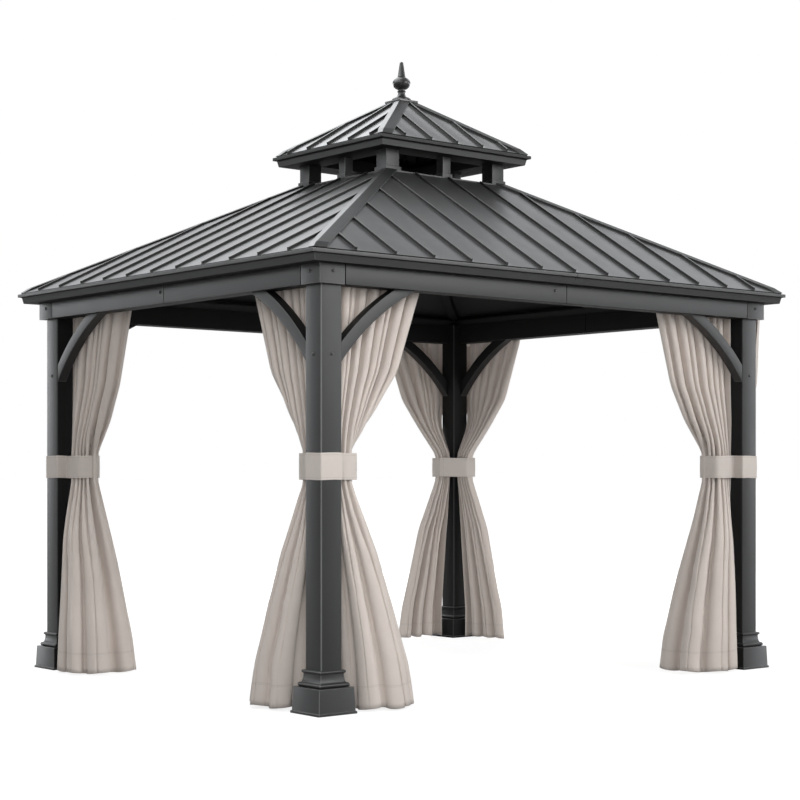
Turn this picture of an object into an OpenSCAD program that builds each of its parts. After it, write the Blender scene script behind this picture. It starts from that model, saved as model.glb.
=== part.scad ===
// Metal garden gazebo: four posts, a beam frame, a standing-seam hipped roof with an open
// cupola and a second roof, and a pair of tied-back curtains at every post.
// X runs along the long sides, the front is at -Y, and Z is up from the ground.

/* [Frame] */
// Width across the outer faces of the posts, along X
frame_w = 3332; // [2600:1:4200]
// Depth across the outer faces of the posts, along Y
frame_d = 2772; // [2200:1:3600]
// Height of the underside of the beams
beam_z = 2120; // [1900:1:2400]
// Side of the square posts
post_size = 130; // [100:1:170]
// Chamfer on the long edges of the posts
post_chamfer = 5; // [1:0.5:12]
// Height of the beams
beam_h = 126; // [105:1:160]
// Width of the beams
beam_w = 100; // [85:1:125]
// How far the beams stand out from the posts
beam_proud = 33; // [15:1:40]
// Open seam between beam halves and at the corner covers
seam = 2; // [0.5:0.5:4]
// Height of the wall plate on top of the beams
plate_h = 40; // [30:1:60]
// How far the wall plate is set back from the inner face of the beams
plate_setback = 12; // [4:1:30]

/* [Post bases] */
// Side of the foot flange
flange_w = 240; // [220:1:300]
// Thickness of the foot flange
flange_h = 12; // [6:1:20]
// Side of the plinth at its foot
plinth_w = 228; // [205:1:232]
// Side of the plinth at its top
plinth_top_w = 218; // [200:1:226]
// Height of the plinth
plinth_h = 120; // [80:1:180]
// Side across the round lower ring
ring_w = 188; // [178:1:198]
// Height of the round lower ring
ring_h = 22; // [14:1:28]
// Height of the hollow above the lower ring
hollow_h = 46; // [30:1:70]
// Side of the collar that closes the base round the post
collar_w = 160; // [152:1:172]
// Height of the collar
collar_h = 16; // [10:1:22]

/* [Knee braces] */
// How far a brace reaches down the post
brace_drop = 381; // [300:1:480]
// How far a brace reaches along the beam
brace_run = 485; // [380:1:600]
// Depth of the curved brace
brace_depth = 65; // [45:1:90]
// Thickness of the brace
brace_t = 60; // [40:1:64]
// Radius of the lower edge of the brace
brace_radius = 1300; // [900:10:2000]

/* [Eaves] */
// Overhang of the lower eave past the beams, at the short sides
eave_over = 102; // [70:1:160]
// Overhang of the upper eave past the cupola frame, at the short sides
upper_over = 124; // [80:1:170]
// Height of the soffit above the underside of the beams
soffit_rise = 98; // [70:1:104]
// Height of the leaning band
band_h = 38; // [20:1:60]
// How far the band leans in towards its foot
band_lean = 20; // [8:1:30]
// Height of the lip
lip_h = 19; // [10:1:30]
// How far the lip stands out from the band
lip_step = 8; // [3:1:14]
// Thickness of the lip behind which the sheets end
lip_t = 12; // [8:1:18]

/* [Lower roof] */
// Width of the curb at the top of the lower roof, along X
curb_w = 932; // [760:1:1200]
// Depth of the curb at the top of the lower roof, along Y
curb_d = 850; // [700:1:1100]
// Rise of the lower roof from the lip to the curb
roof_rise = 656; // [450:1:800]
// Thickness of the roof sheets
panel_t = 8; // [4:0.5:12]
// Distance between the standing seams of the lower roof
rib_pitch = 254; // [180:1:400]
// Width of a standing seam
rib_w = 18; // [10:1:30]
// Height of a standing seam
rib_h = 14; // [10:1:20]
// Width of each wing of a hip cap
hip_wing = 52; // [35:1:80]
// Thickness of a hip cap
hip_t = 12; // [8:0.5:16]
// Width of the rafters
rafter_w = 56; // [40:1:80]
// Depth of the rafters
rafter_h = 62; // [45:1:90]

/* [Cupola and upper roof] */
// Height of the curb bars
curb_h = 84; // [70:1:110]
// Width of the curb bars
curb_bar = 110; // [106:1:140]
// How far the curb stands above the roof sheets
curb_up = 6; // [2:1:20]
// Clear height of the cupola posts
cupola_h = 120; // [90:1:240]
// Side of the cupola corner posts
cupola_post = 95; // [70:1:95]
// Side of the cupola middle posts
cupola_mid = 60; // [40:1:90]
// How far the foot of a cupola post stands out
foot_over = 5; // [2:1:5]
// Height of the foot of a cupola post
foot_h = 10; // [5:1:20]
// Height of the cupola top frame
top_frame_h = 66; // [56:1:90]
// Rise of the upper roof from its lip to the roof cap
upper_rise = 316; // [240:1:420]
// Distance between the standing seams of the upper roof
upper_rib_pitch = 200; // [150:1:260]
// Side of the opening under the roof cap
cap_seat = 136; // [110:1:150]
// Side of the roof cap
cap_w = 146; // [138:1:190]
// Thickness of the roof cap
cap_h = 12; // [8:1:20]

/* [Finial] */
// Diameter of the foot of the finial
finial_foot_d = 116; // [90:1:130]
// Height of the rim of the foot
finial_rim_h = 16; // [8:1:24]
// Height of the flare above the rim
flare_h = 27; // [16:1:40]
// Diameter of the neck
neck_d = 48; // [34:1:64]
// Height of the neck
neck_h = 25; // [16:1:40]
// Diameter of the ball
ball_d = 110; // [80:1:140]
// Height of the ball
ball_h = 82; // [60:1:110]
// Diameter at the foot of the spike
spike_d = 46; // [30:1:60]
// Height of the spike
spike_h = 92; // [60:1:140]

/* [Curtains] */
// Height of the tie-back bands above the ground
tie_z = 1155; // [900:1:1400]
// Height of a tie-back band
tie_h = 135; // [80:1:180]
// Thickness of a tie-back band
tie_t = 3; // [2:0.5:6]
// Width of a drawn inner curtain at its top
curtain_top_w = 590; // [450:1:700]
// Width of a drawn inner curtain at its hem
curtain_hem_w = 442; // [330:1:520]
// Width of a gathered inner curtain in the tie-back
gather_w = 152; // [110:1:180]
// Depth of a gathered inner curtain in the tie-back
gather_depth = 156; // [120:1:160]
// Clear height under the hem
hem_z = 25; // [10:1:60]
// Depth of the folds of an inner curtain at its top
fold_depth = 120; // [90:1:140]
// Depth of the folds of an inner curtain at its hem
hem_depth = 415; // [300:1:420]
// Depth of the folds of an outer curtain at its top
outer_depth = 75; // [50:1:80]
// Width of the curtain rail
rail_w = 24; // [16:1:40]
// Height of the curtain rail
rail_h = 26; // [16:1:40]

/* [Hidden] */
$fn = 64;

metal = "#4a4b4d";
fabric = "#c4b8ae";

// Clearance between pieces that butt, and the overrun of every cut
joint_gap = 0.3;
overrun = 20;

// Half sizes of the beam frame at its outer faces, and heights up the frame
beam_x = frame_w / 2 + beam_proud;
beam_y = frame_d / 2 + beam_proud;
beam_in = beam_w - beam_proud;
beam_top = beam_z + beam_h;
plate_top = beam_top + plate_h;
plate_w = beam_w - plate_setback;

// The eave overhangs are in proportion, so that the hips run over the corners of the frame
eave_over_y = eave_over * (beam_y - curb_d / 2) / (beam_x - curb_w / 2);
lip_x = beam_x + eave_over;
lip_y = beam_y + eave_over_y;
soffit_z = beam_z + soffit_rise;
lip_z = soffit_z + band_h + lip_h;
roof_top = lip_z + roof_rise;

// Cupola on the curb, and the upper roof on the cupola
curb_top = roof_top + curb_up;
cupola_x = curb_w / 2 - foot_over;
cupola_y = curb_d / 2 - foot_over;
upper_soffit = curb_top + cupola_h;
upper_over_y = upper_over * (cupola_y - cap_seat / 2) / (cupola_x - cap_seat / 2);
upper_lip_z = upper_soffit + band_h + lip_h;
upper_top = upper_lip_z + upper_rise;
cap_z = upper_top + hip_t;
spigot_h = rafter_h;

// A hipped roof: half sizes and height of its lip, half sizes and height of its top
lower = [lip_x, lip_y, lip_z, curb_w / 2, curb_d / 2, roof_top];
upper = [
    cupola_x + upper_over, cupola_y + upper_over_y, upper_lip_z,
    cap_seat / 2, cap_seat / 2, upper_top
];

// Sides are counted from the front: 0 front, 1 right, 2 back, 3 left
function half_len(roof, side) = side % 2 == 0 ? roof[0] : roof[1];
function half_top(roof, side) = side % 2 == 0 ? roof[3] : roof[4];
function reach(roof, side) = side % 2 == 0 ? roof[1] : roof[0];
function top_reach(roof, side) = side % 2 == 0 ? roof[4] : roof[3];
function run(roof, side) = reach(roof, side) - top_reach(roof, side);
function rise(roof) = roof[5] - roof[2];
function pitch(roof, side) = atan(rise(roof) / run(roof, side));
function slope_len(roof, side) = norm([rise(roof), run(roof, side)]);

// Half width of a slope at t up the slope, kept a set distance clear of the hips
function half_at(roof, side, t, inset) =
    let (narrowing = half_len(roof, side) - half_top(roof, side))
    let (long = slope_len(roof, side))
    half_len(roof, side) - narrowing * t / long - inset * norm([narrowing, long]) / long;

// Points on an ellipse from angle a to angle b
arc_steps = 8;
function arc(x, z, rx, rz, a, b) = [
    for (i = [0 : arc_steps])
        let (angle = a + (b - a) * i / arc_steps)
        [x + rx * cos(angle), z + rz * sin(angle)]
];

// Children drawn at the front left post are mirrored to the post at sx, sy
module in_corner(sx, sy) {
    mirror([sx > 0 ? 1 : 0, 0, 0])
    mirror([0, sy > 0 ? 1 : 0, 0])
    translate([-frame_w / 2, -frame_d / 2, 0])
    children();
}

// Four bars round a rectangle: front and back run through, the others fit between them
module frame_bars(half_x, half_y, bar, high) {
    between = 2 * (half_y - bar - joint_gap);
    for (turn = [0, 180]) rotate([0, 0, turn]) {
        translate([-half_x, -half_y, 0]) cube([2 * half_x, bar, high]);
        translate([-half_x, -between / 2, 0]) cube([bar, between, high]);
    }
}

// A block over a rectangle in plan, from the ground to above the hip caps
module plan_block(half_x, half_y) {
    high = cap_z + overrun;
    translate([-half_x, -half_y, 0]) cube([2 * half_x, 2 * half_y, high]);
}

module post() {
    c = post_chamfer;
    s = post_size;
    translate([0, 0, flange_h])
    linear_extrude(beam_top - flange_h)
    polygon([[c, 0], [s - c, 0], [s, c], [s, s - c], [s - c, s], [c, s], [0, s - c], [0, c]]);
}

// Moulded base: one outline swept round a square, open inside for the post
module base() {
    plinth_top = flange_h + plinth_h;
    ring_r = ring_h / 2;
    ring_top = plinth_top + ring_h;
    ring_x = ring_w / 2 - ring_r;
    collar_r = collar_h / 2;
    collar_x = collar_w / 2 - collar_r;
    collar_z = ring_top + hollow_h + collar_r;
    half = concat(
        [[flange_w / 2, 0], [flange_w / 2, flange_h]],
        [[plinth_w / 2, flange_h], [plinth_top_w / 2, plinth_top]],
        arc(ring_x, plinth_top + ring_r, ring_r, ring_r, -90, 90),
        arc(ring_x, ring_top + hollow_h, ring_x - collar_x, hollow_h, 270, 180),
        arc(collar_x, collar_z, collar_r, collar_r, -90, 90));
    outline = concat(half, [for (i = [len(half) - 1 : -1 : 0]) [-half[i][0], half[i][1]]]);
    hole = post_size + 2 * joint_gap;
    translate([post_size / 2, post_size / 2, 0])
    difference() {
        intersection() {
            rotate([90, 0, 0]) linear_extrude(flange_w, center = true) polygon(outline);
            rotate([90, 0, 90]) linear_extrude(flange_w, center = true) polygon(outline);
        }
        translate([-hole / 2, -hole / 2, flange_h]) cube([hole, hole, collar_z + overrun]);
    }
}

// Beam along one side in two halves that meet at an open seam
module beam(half_side, out) {
    long = half_side - post_size - seam / 2;
    for (turn = [0, 1]) mirror([turn, 0, 0])
        translate([seam / 2, -out, beam_z]) cube([long, beam_w, beam_h]);
}

// Cover over the two outer faces of a post, level with the beams
module corner_cover() {
    long = beam_proud + post_size - seam;
    translate([-beam_proud, -beam_proud, beam_z])
    linear_extrude(beam_h)
    difference() {
        square(long);
        translate([beam_proud, beam_proud]) square(long);
    }
}

// Curved brace in the plane of a beam, between the post and the underside of the beam
module brace() {
    chord = norm([brace_run, brace_drop]);
    drop = sqrt(brace_radius * brace_radius - chord * chord / 4);
    centre_x = brace_run / 2 + drop * brace_drop / chord;
    centre_z = brace_drop / 2 + drop * brace_run / chord;
    inset = (beam_in - brace_t) / 2;
    translate([post_size, inset + brace_t, beam_z])
    rotate([90, 0, 0])
    linear_extrude(brace_t)
    intersection() {
        translate([centre_x, -centre_z]) difference() {
            circle(brace_radius + brace_depth, $fn = 180);
            circle(brace_radius, $fn = 180);
        }
        translate([0, -brace_drop]) square([brace_run, brace_drop]);
    }
}

module braces() {
    brace();
    mirror([1, -1, 0]) brace();
}

module wall_plate_bars() {
    translate([0, 0, beam_top]) frame_bars(beam_x, beam_y, plate_w, plate_h);
}

// Children are drawn flat, with Y up the slope, and laid on one slope of a roof
module on_slope(roof, side) {
    rotate([0, 0, 90 * side])
    translate([0, -reach(roof, side), roof[2]])
    rotate([pitch(roof, side), 0, 0])
    children();
}

module slope_field(roof, side, from, to, inset) {
    low = half_at(roof, side, from, inset);
    high = half_at(roof, side, to, inset);
    polygon([[-low, from], [low, from], [high, to], [-high, to]]);
}

// One slope: a sheet with standing seams that end under the hip caps
module slope(roof, side, spacing) {
    angle = pitch(roof, side);
    long = slope_len(roof, side);
    from = lip_t / cos(angle);
    to = long - panel_t * tan(angle) - joint_gap;
    foot = from + rib_h / 2;
    clear = hip_wing + joint_gap;
    room = half_at(roof, side, foot + 2 * rib_h, clear) - rib_w / 2;
    count = floor(room / spacing);
    on_slope(roof, side)
    translate([0, 0, -panel_t]) {
        linear_extrude(panel_t) slope_field(roof, side, from, to, panel_t);
        intersection() {
            for (i = [-count : count])
                translate([i * spacing - rib_w / 2, 0, panel_t]) rib(foot, to);
            linear_extrude(panel_t + rib_h) slope_field(roof, side, from, to, clear);
        }
    }
}

// Standing seam along the slope, with a sloping foot
module rib(from, to) {
    sunk = panel_t / 2;
    rotate([90, 0, 90])
    linear_extrude(rib_w)
    polygon([[from, -sunk], [from, 0], [from + rib_h, rib_h], [to, rib_h], [to, -sunk]]);
}

// Hip line of a roof at its back right corner, and the two slopes seen square to it
function hip_vector(roof) = [roof[3] - roof[0], roof[4] - roof[1], rise(roof)];
function hip_turn(roof) = atan2(hip_vector(roof)[1], hip_vector(roof)[0]);
function hip_tilt(roof) = acos(rise(roof) / norm(hip_vector(roof)));
function hip_across(roof) = [-sin(hip_turn(roof)), cos(hip_turn(roof)), 0];
function hip_up(roof) = cross(hip_vector(roof), hip_across(roof)) / norm(hip_vector(roof));
function end_normal(roof) = [sin(pitch(roof, 1)), 0, cos(pitch(roof, 1))];
function side_normal(roof) = [0, sin(pitch(roof, 0)), cos(pitch(roof, 0))];
function square_on(roof, v) = [v * hip_across(roof), v * hip_up(roof)];
function apex(n, m, lift) =
    let (det = n[0] * m[1] - m[0] * n[1])
    [lift * (m[1] - n[1]) / det, lift * (n[0] - m[0]) / det];

// Children hold a section square to the hip and are carried up each hip of a roof
module along_hips(roof) {
    for (sx = [0, 1], sy = [0, 1])
        mirror([sx, 0, 0]) mirror([0, sy, 0])
        translate([roof[0], roof[1], roof[2]])
        rotate([0, hip_tilt(roof), hip_turn(roof)])
        rotate([0, 0, 90])
        translate([0, 0, -overrun])
        linear_extrude(norm(hip_vector(roof)) + 2 * overrun)
        children();
}

// Folded caps over the hips, mitred to the lip and stopped at the top of the roof
module caps(roof, stop_x, stop_y) {
    n = square_on(roof, end_normal(roof));
    m = square_on(roof, side_normal(roof));
    end_wing = [n[1], -n[0]] * hip_wing;
    side_wing = [-m[1], m[0]] * hip_wing;
    difference() {
        intersection() {
            along_hips(roof) polygon([
                [0, 0], end_wing, end_wing + n * hip_t,
                apex(n, m, hip_t), side_wing + m * hip_t, side_wing
            ]);
            plan_block(roof[0] - lip_t - joint_gap, roof[1] - lip_t - joint_gap);
        }
        plan_block(stop_x + joint_gap, stop_y + joint_gap);
    }
}

// Rafters are cut to the frame outside, to the top of the roof inside, and seated on the plate
module fit_rafters(roof, out_x, out_y, seat_w, seat_z) {
    difference() {
        intersection() {
            children();
            plan_block(out_x - joint_gap, out_y - joint_gap);
        }
        plan_block(roof[3] + joint_gap, roof[4] + joint_gap);
        difference() {
            plan_block(out_x, out_y);
            plan_block(out_x - seat_w, out_y - seat_w);
            translate([0, 0, seat_z]) plan_block(out_x, out_y);
        }
    }
}

module hips(roof) {
    n = square_on(roof, end_normal(roof));
    m = square_on(roof, side_normal(roof));
    top = apex(n, m, -panel_t);
    half = rafter_w / 2;
    foot = top[1] - rafter_h;
    end_top = [half, top[1] - (half - top[0]) * n[0] / n[1]];
    side_top = [-half, top[1] - (-half - top[0]) * m[0] / m[1]];
    along_hips(roof) polygon([top, end_top, [half, foot], [-half, foot], side_top]);
}

module middles(roof) {
    for (side = [0 : 3])
        on_slope(roof, side)
        translate([-rafter_w / 2, 0, -panel_t - rafter_h])
        cube([rafter_w, slope_len(roof, side), rafter_h]);
}

// Eave of one side: soffit, leaning band and lip, with the sheets seated behind the lip
module eave(roof, side, over, widest, soffit) {
    angle = pitch(roof, side);
    wide = over / widest;
    foot = over - (lip_step + band_lean) * wide;
    band = over - lip_step * wide;
    back = over - lip_t;
    top = roof[2];
    inner = reach(roof, side) - over;
    narrowing = (half_len(roof, side) - half_top(roof, side)) / run(roof, side) * over;
    long = half_len(roof, side);
    section = [
        [0, soffit], [foot, soffit], [band, top - lip_h], [over, top - lip_h], [over, top],
        [back, top], [back, top + lip_t * tan(angle) - panel_t / cos(angle)],
        [0, top + over * tan(angle) - panel_t / cos(angle)]
    ];
    rotate([0, 0, 90 * side])
    intersection() {
        translate([-long, 0, 0]) rotate([90, 0, 90]) linear_extrude(2 * long)
            polygon([for (p = section) [-(inner + p[0]), p[1]]]);
        plan_wedge(long, narrowing, inner, over);
    }
}

// Plan of one side of an eave, mitred to its neighbours
module plan_wedge(long, narrowing, inner, over) {
    out = long - joint_gap / 2;
    in = out - narrowing;
    foot = -inner - over;
    linear_extrude(cap_z) polygon([[-out, foot], [out, foot], [in, -inner], [-in, -inner]]);
}

module lower_eave(side) {
    over = side % 2 == 0 ? eave_over_y : eave_over;
    difference() {
        eave(lower, side, over, eave_over, soffit_z);
        rotate([0, 0, 90 * side])
        translate([-seam / 2, -lip_x, 0])
        cube([seam, lip_x, cap_z]);
    }
}

module cupola_leg(size, centre_x, centre_y) {
    foot = size + 2 * foot_over;
    translate([centre_x - foot / 2, centre_y - foot / 2, curb_top]) cube([foot, foot, foot_h]);
    translate([centre_x - size / 2, centre_y - size / 2, curb_top]) cube([size, size, cupola_h]);
}

// Turned finial
module turned_finial() {
    neck_r = neck_d / 2;
    foot_r = finial_foot_d / 2;
    flare_top = finial_rim_h + flare_h;
    ball_z = flare_top + neck_h + ball_h / 2;
    ball_top = ball_z + ball_h / 2;
    spike_r = spike_d / 2;
    tip_r = spike_r / 2;
    bead = neck_h / 4;
    cut = asin(neck_r / (ball_d / 2));
    rotate_extrude()
    polygon(concat(
        [[0, 0], [foot_r, 0], [foot_r, finial_rim_h / 2]],
        arc(foot_r - finial_rim_h / 2, finial_rim_h / 2, finial_rim_h / 2, finial_rim_h / 2, 0, 90),
        arc(foot_r - finial_rim_h / 2, flare_top, foot_r - finial_rim_h / 2 - neck_r, flare_h, 270, 180),
        arc(neck_r, flare_top + bead, bead / 2, bead, -90, 90),
        [[neck_r, ball_z - ball_h / 2 * cos(cut)]],
        arc(0, ball_z, ball_d / 2, ball_h / 2, -90 + cut, 90 - asin(spike_r / (ball_d / 2))),
        [[spike_r, ball_top], [tip_r, ball_top + spike_h - tip_r]],
        arc(0, ball_top + spike_h - tip_r, tip_r, tip_r, 0, 90)));
}

module cap_plate() {
    translate([-cap_w / 2, -cap_w / 2, cap_z]) cube([cap_w, cap_w, cap_h]);
    spigot = cap_seat - 2 * joint_gap;
    translate([-spigot / 2, -spigot / 2, cap_z - spigot_h])
    cube([spigot, spigot, spigot_h + cap_h / 2]);
}

// Rails: inside the front and left beams, outside the back and right beams
fold_gap = 2;
rail_z = beam_z + (beam_h - rail_h) / 3;
outer_rail_z = beam_z + fold_gap;

module rails() {
    long_x = frame_w - 2 * (post_size + joint_gap);
    long_y = frame_d - 2 * (post_size + joint_gap);
    translate([-long_x / 2, -beam_y + beam_w, rail_z]) cube([long_x, rail_w, rail_h]);
    translate([-beam_x + beam_w, -long_y / 2, rail_z]) cube([rail_w, long_y, rail_h]);
    translate([-long_x / 2, beam_y, outer_rail_z]) cube([long_x, rail_w, rail_h]);
    translate([beam_x, -long_y / 2, outer_rail_z]) cube([rail_w, long_y, rail_h]);
}

// Curtain, measured from the outer corner of its post: along the beam, then inwards.
// Each level holds its height, where the curtain starts and ends along the beam, where its
// folds start and end inwards, and the share of that depth it has beside the post.
round_share = 0.55;
ring_points = 24;
flare_share = 0.9;
half_way_share = 0.68;
knee_share = 0.5;
spring_share = 0.4;
hang_from = post_size + 10 * fold_gap;
hang_in = beam_in + fold_gap;
hang_out = hang_in + fold_depth;
gather_from = post_size + 3 * fold_gap;
gather_in = post_size / 2;
gather_out = gather_in + gather_depth;
base_from = post_size / 2 + flange_w / 2 + 3 * fold_gap;
spill_share = 0.88;
hem_in = -post_size * spill_share;
hem_out = hem_in + hem_depth;
brace_foot = beam_z - brace_drop - brace_depth / 2;
spring_z = (tie_z + tie_h + brace_foot) / 2;
base_top = flange_h + plinth_h + ring_h + hollow_h + collar_h + 4 * fold_gap;
knee_from = gather_from + (base_from - gather_from) * knee_share;

// The inner curtains are shallow beside the post, so that two of them share its inner corner.
// Below the tie-back they spread to both sides, and past the outer face of the post.
near_share = 0.36;
near_hem_share = 0.72;
near_knee_share = 0.6;
near_top_share = 0.65;
inner_levels = [
    [hem_z, base_from, base_from + curtain_hem_w, hem_in, hem_out, near_hem_share],
    [base_top, base_from, base_from + curtain_hem_w * flare_share,
        hem_in, hem_out, near_hem_share],
    [tie_z * half_way_share, knee_from,
        gather_from + gather_w + (curtain_hem_w - gather_w) * knee_share,
        (gather_in + hem_in) / 2, (gather_out + hem_out) / 2, near_knee_share],
    [tie_z - tie_h / 8, gather_from, gather_from + gather_w, gather_in, gather_out, near_share],
    [tie_z + tie_h + tie_h / 8, gather_from, gather_from + gather_w,
        gather_in, gather_out, near_share],
    [spring_z, (gather_from + hang_from) / 2,
        gather_from + gather_w + (curtain_top_w - gather_w) * spring_share,
        (gather_in + hang_in) / 2, (gather_out + hang_out) / 2, near_top_share],
    [brace_foot, hang_from, hang_from + gather_w + (curtain_top_w - gather_w) * half_way_share,
        hang_in, hang_out, near_top_share],
    [rail_z - joint_gap, hang_from, hang_from + curtain_top_w, hang_in, hang_out, near_top_share]
];

// The outer curtains hang over the outer face of the beam and are narrower
outer_share = 0.78;
outer_in = post_size / 5;
outer_face = -beam_proud - fold_gap;
outer_edge = outer_face - outer_depth;
outer_top_w = curtain_top_w * outer_share;
outer_hem_w = curtain_hem_w * outer_share;
outer_gather_w = gather_w * outer_share;
outer_levels = [
    [hem_z, base_from, base_from + outer_hem_w, -post_size / 2, post_size - 2 * outer_in, 1],
    [base_top, base_from, base_from + outer_hem_w * flare_share,
        -post_size / 2, post_size - 2 * outer_in, 1],
    [tie_z * half_way_share, knee_from,
        gather_from + outer_gather_w + (outer_hem_w - outer_gather_w) * knee_share,
        -post_size / 4, post_size - outer_in, 1],
    [tie_z - tie_h / 8, gather_from, gather_from + outer_gather_w, outer_in, post_size, 1],
    [tie_z + tie_h + tie_h / 8, gather_from, gather_from + outer_gather_w, outer_in, post_size, 1],
    [spring_z, gather_from,
        gather_from + outer_gather_w + (outer_top_w - outer_gather_w) * spring_share,
        (outer_in + outer_edge) / 2, (post_size + outer_face) / 2, 1],
    [brace_foot, gather_from,
        hang_from + outer_gather_w + (outer_top_w - outer_gather_w) * half_way_share,
        outer_edge, -2 * fold_gap, 1],
    [outer_rail_z - joint_gap, post_size / 2, hang_from + outer_top_w, outer_edge, outer_face, 1]
];

function swell(v) = sign(v) * pow(abs(v), round_share);
function ring(level) = [
    for (i = [0 : ring_points - 1])
        let (a = 360 * (i + 1 / 2) / ring_points)
        let (along = (1 + swell(cos(a))) / 2)
        let (inwards = (1 + swell(sin(a))) / 2 * (level[5] + (1 - level[5]) * along))
        [level[1] + (level[2] - level[1]) * along, level[3] + (level[4] - level[3]) * inwards]
];
function curtain_levels(inner) = inner ? inner_levels : outer_levels;

module curtain(inner) {
    n = ring_points;
    levels = curtain_levels(inner);
    rows = len(levels);
    points = [for (level = levels) for (p = ring(level)) [p[0], p[1], level[0]]];
    walls = [
        for (j = [0 : rows - 2]) for (i = [0 : n - 1])
            let (k = (i + 1) % n)
            [j * n + i, (j + 1) * n + i, (j + 1) * n + k, j * n + k]
    ];
    hem = [for (i = [0 : n - 1]) i];
    head = [for (i = [n - 1 : -1 : 0]) (rows - 1) * n + i];
    polyhedron(points, concat(walls, [hem, head]), convexity = 8);
}

// The two curtains of a post: inside the front and left beams, outside the other two
module curtains(sx, sy) in_corner(sx, sy) {
    curtain(sy < 0);
    mirror([1, -1, 0]) curtain(sx < 0);
}

// Plan of one gathered curtain where the tie-back holds it
module gathered(inner) polygon(ring(curtain_levels(inner)[3]));

// Plan of what a tie-back goes round: the post and both gathered curtains, with narrow gaps closed
module tied_plan(sx, sy) {
    closing = 3 * fold_gap;
    offset(delta = -closing) offset(delta = closing) {
        square(post_size);
        hull() {
            gathered(sy < 0);
            mirror([1, -1, 0]) gathered(sx < 0);
        }
    }
}

module tie(sx, sy) {
    in_corner(sx, sy)
    translate([0, 0, tie_z])
    linear_extrude(tie_h)
    difference() {
        offset(delta = joint_gap + tie_t) tied_plan(sx, sy);
        offset(delta = joint_gap) tied_plan(sx, sy);
    }
}

module front_left_post() color(metal) in_corner(-1, -1) post();
module front_right_post() color(metal) in_corner(1, -1) post();
module back_left_post() color(metal) in_corner(-1, 1) post();
module back_right_post() color(metal) in_corner(1, 1) post();

module front_left_base() color(metal) in_corner(-1, -1) base();
module front_right_base() color(metal) in_corner(1, -1) base();
module back_left_base() color(metal) in_corner(-1, 1) base();
module back_right_base() color(metal) in_corner(1, 1) base();

module front_beam() color(metal) beam(frame_w / 2, beam_y);
module back_beam() color(metal) rotate([0, 0, 180]) beam(frame_w / 2, beam_y);
module left_beam() color(metal) rotate([0, 0, -90]) beam(frame_d / 2, beam_x);
module right_beam() color(metal) rotate([0, 0, 90]) beam(frame_d / 2, beam_x);
module corner_covers() color(metal) for (sx = [-1, 1], sy = [-1, 1]) in_corner(sx, sy) corner_cover();

module front_left_braces() color(metal) in_corner(-1, -1) braces();
module front_right_braces() color(metal) in_corner(1, -1) braces();
module back_left_braces() color(metal) in_corner(-1, 1) braces();
module back_right_braces() color(metal) in_corner(1, 1) braces();

module wall_plates() color(metal) wall_plate_bars();
module hip_rafters() color(metal) fit_rafters(lower, beam_x, beam_y, plate_w, plate_top) hips(lower);
module middle_rafters() color(metal) fit_rafters(lower, beam_x, beam_y, plate_w, plate_top) middles(lower);

module front_roof() color(metal) slope(lower, 0, rib_pitch);
module right_roof() color(metal) slope(lower, 1, rib_pitch);
module back_roof() color(metal) slope(lower, 2, rib_pitch);
module left_roof() color(metal) slope(lower, 3, rib_pitch);
module hip_caps() color(metal) caps(lower, curb_w / 2, curb_d / 2);

module front_eave() color(metal) lower_eave(0);
module right_eave() color(metal) lower_eave(1);
module back_eave() color(metal) lower_eave(2);
module left_eave() color(metal) lower_eave(3);

module roof_curb() {
    color(metal)
    translate([0, 0, curb_top - curb_h])
    frame_bars(curb_w / 2, curb_d / 2, curb_bar, curb_h);
}

module cupola_corner_posts() {
    out_x = cupola_x - cupola_post / 2;
    out_y = cupola_y - cupola_post / 2;
    color(metal) for (sx = [-1, 1], sy = [-1, 1]) cupola_leg(cupola_post, sx * out_x, sy * out_y);
}

module cupola_middle_posts() {
    out_x = cupola_x - cupola_mid / 2;
    out_y = cupola_y - cupola_mid / 2;
    color(metal) for (way = [-1, 1]) {
        cupola_leg(cupola_mid, way * out_x, 0);
        cupola_leg(cupola_mid, 0, way * out_y);
    }
}

module cupola_frame() {
    color(metal)
    translate([0, 0, upper_soffit])
    frame_bars(cupola_x, cupola_y, cupola_post, top_frame_h);
}

module upper_front_roof() color(metal) slope(upper, 0, upper_rib_pitch);
module upper_right_roof() color(metal) slope(upper, 1, upper_rib_pitch);
module upper_back_roof() color(metal) slope(upper, 2, upper_rib_pitch);
module upper_left_roof() color(metal) slope(upper, 3, upper_rib_pitch);
module upper_hip_caps() color(metal) caps(upper, cap_w / 2, cap_w / 2);

module upper_hip_rafters() {
    color(metal)
    fit_rafters(upper, cupola_x, cupola_y, cupola_post, upper_soffit + top_frame_h)
    hips(upper);
}

module upper_eaves() {
    color(metal) for (side = [0 : 3])
        eave(upper, side, side % 2 == 0 ? upper_over_y : upper_over, upper_over, upper_soffit);
}

module roof_cap() color(metal) cap_plate();
module finial() color(metal) translate([0, 0, cap_z + cap_h]) turned_finial();
module curtain_rails() color(metal) rails();

module front_left_curtains() color(fabric) curtains(-1, -1);
module front_right_curtains() color(fabric) curtains(1, -1);
module back_left_curtains() color(fabric) curtains(-1, 1);
module back_right_curtains() color(fabric) curtains(1, 1);

module front_left_tie() color(fabric) tie(-1, -1);
module front_right_tie() color(fabric) tie(1, -1);
module back_left_tie() color(fabric) tie(-1, 1);
module back_right_tie() color(fabric) tie(1, 1);

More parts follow.
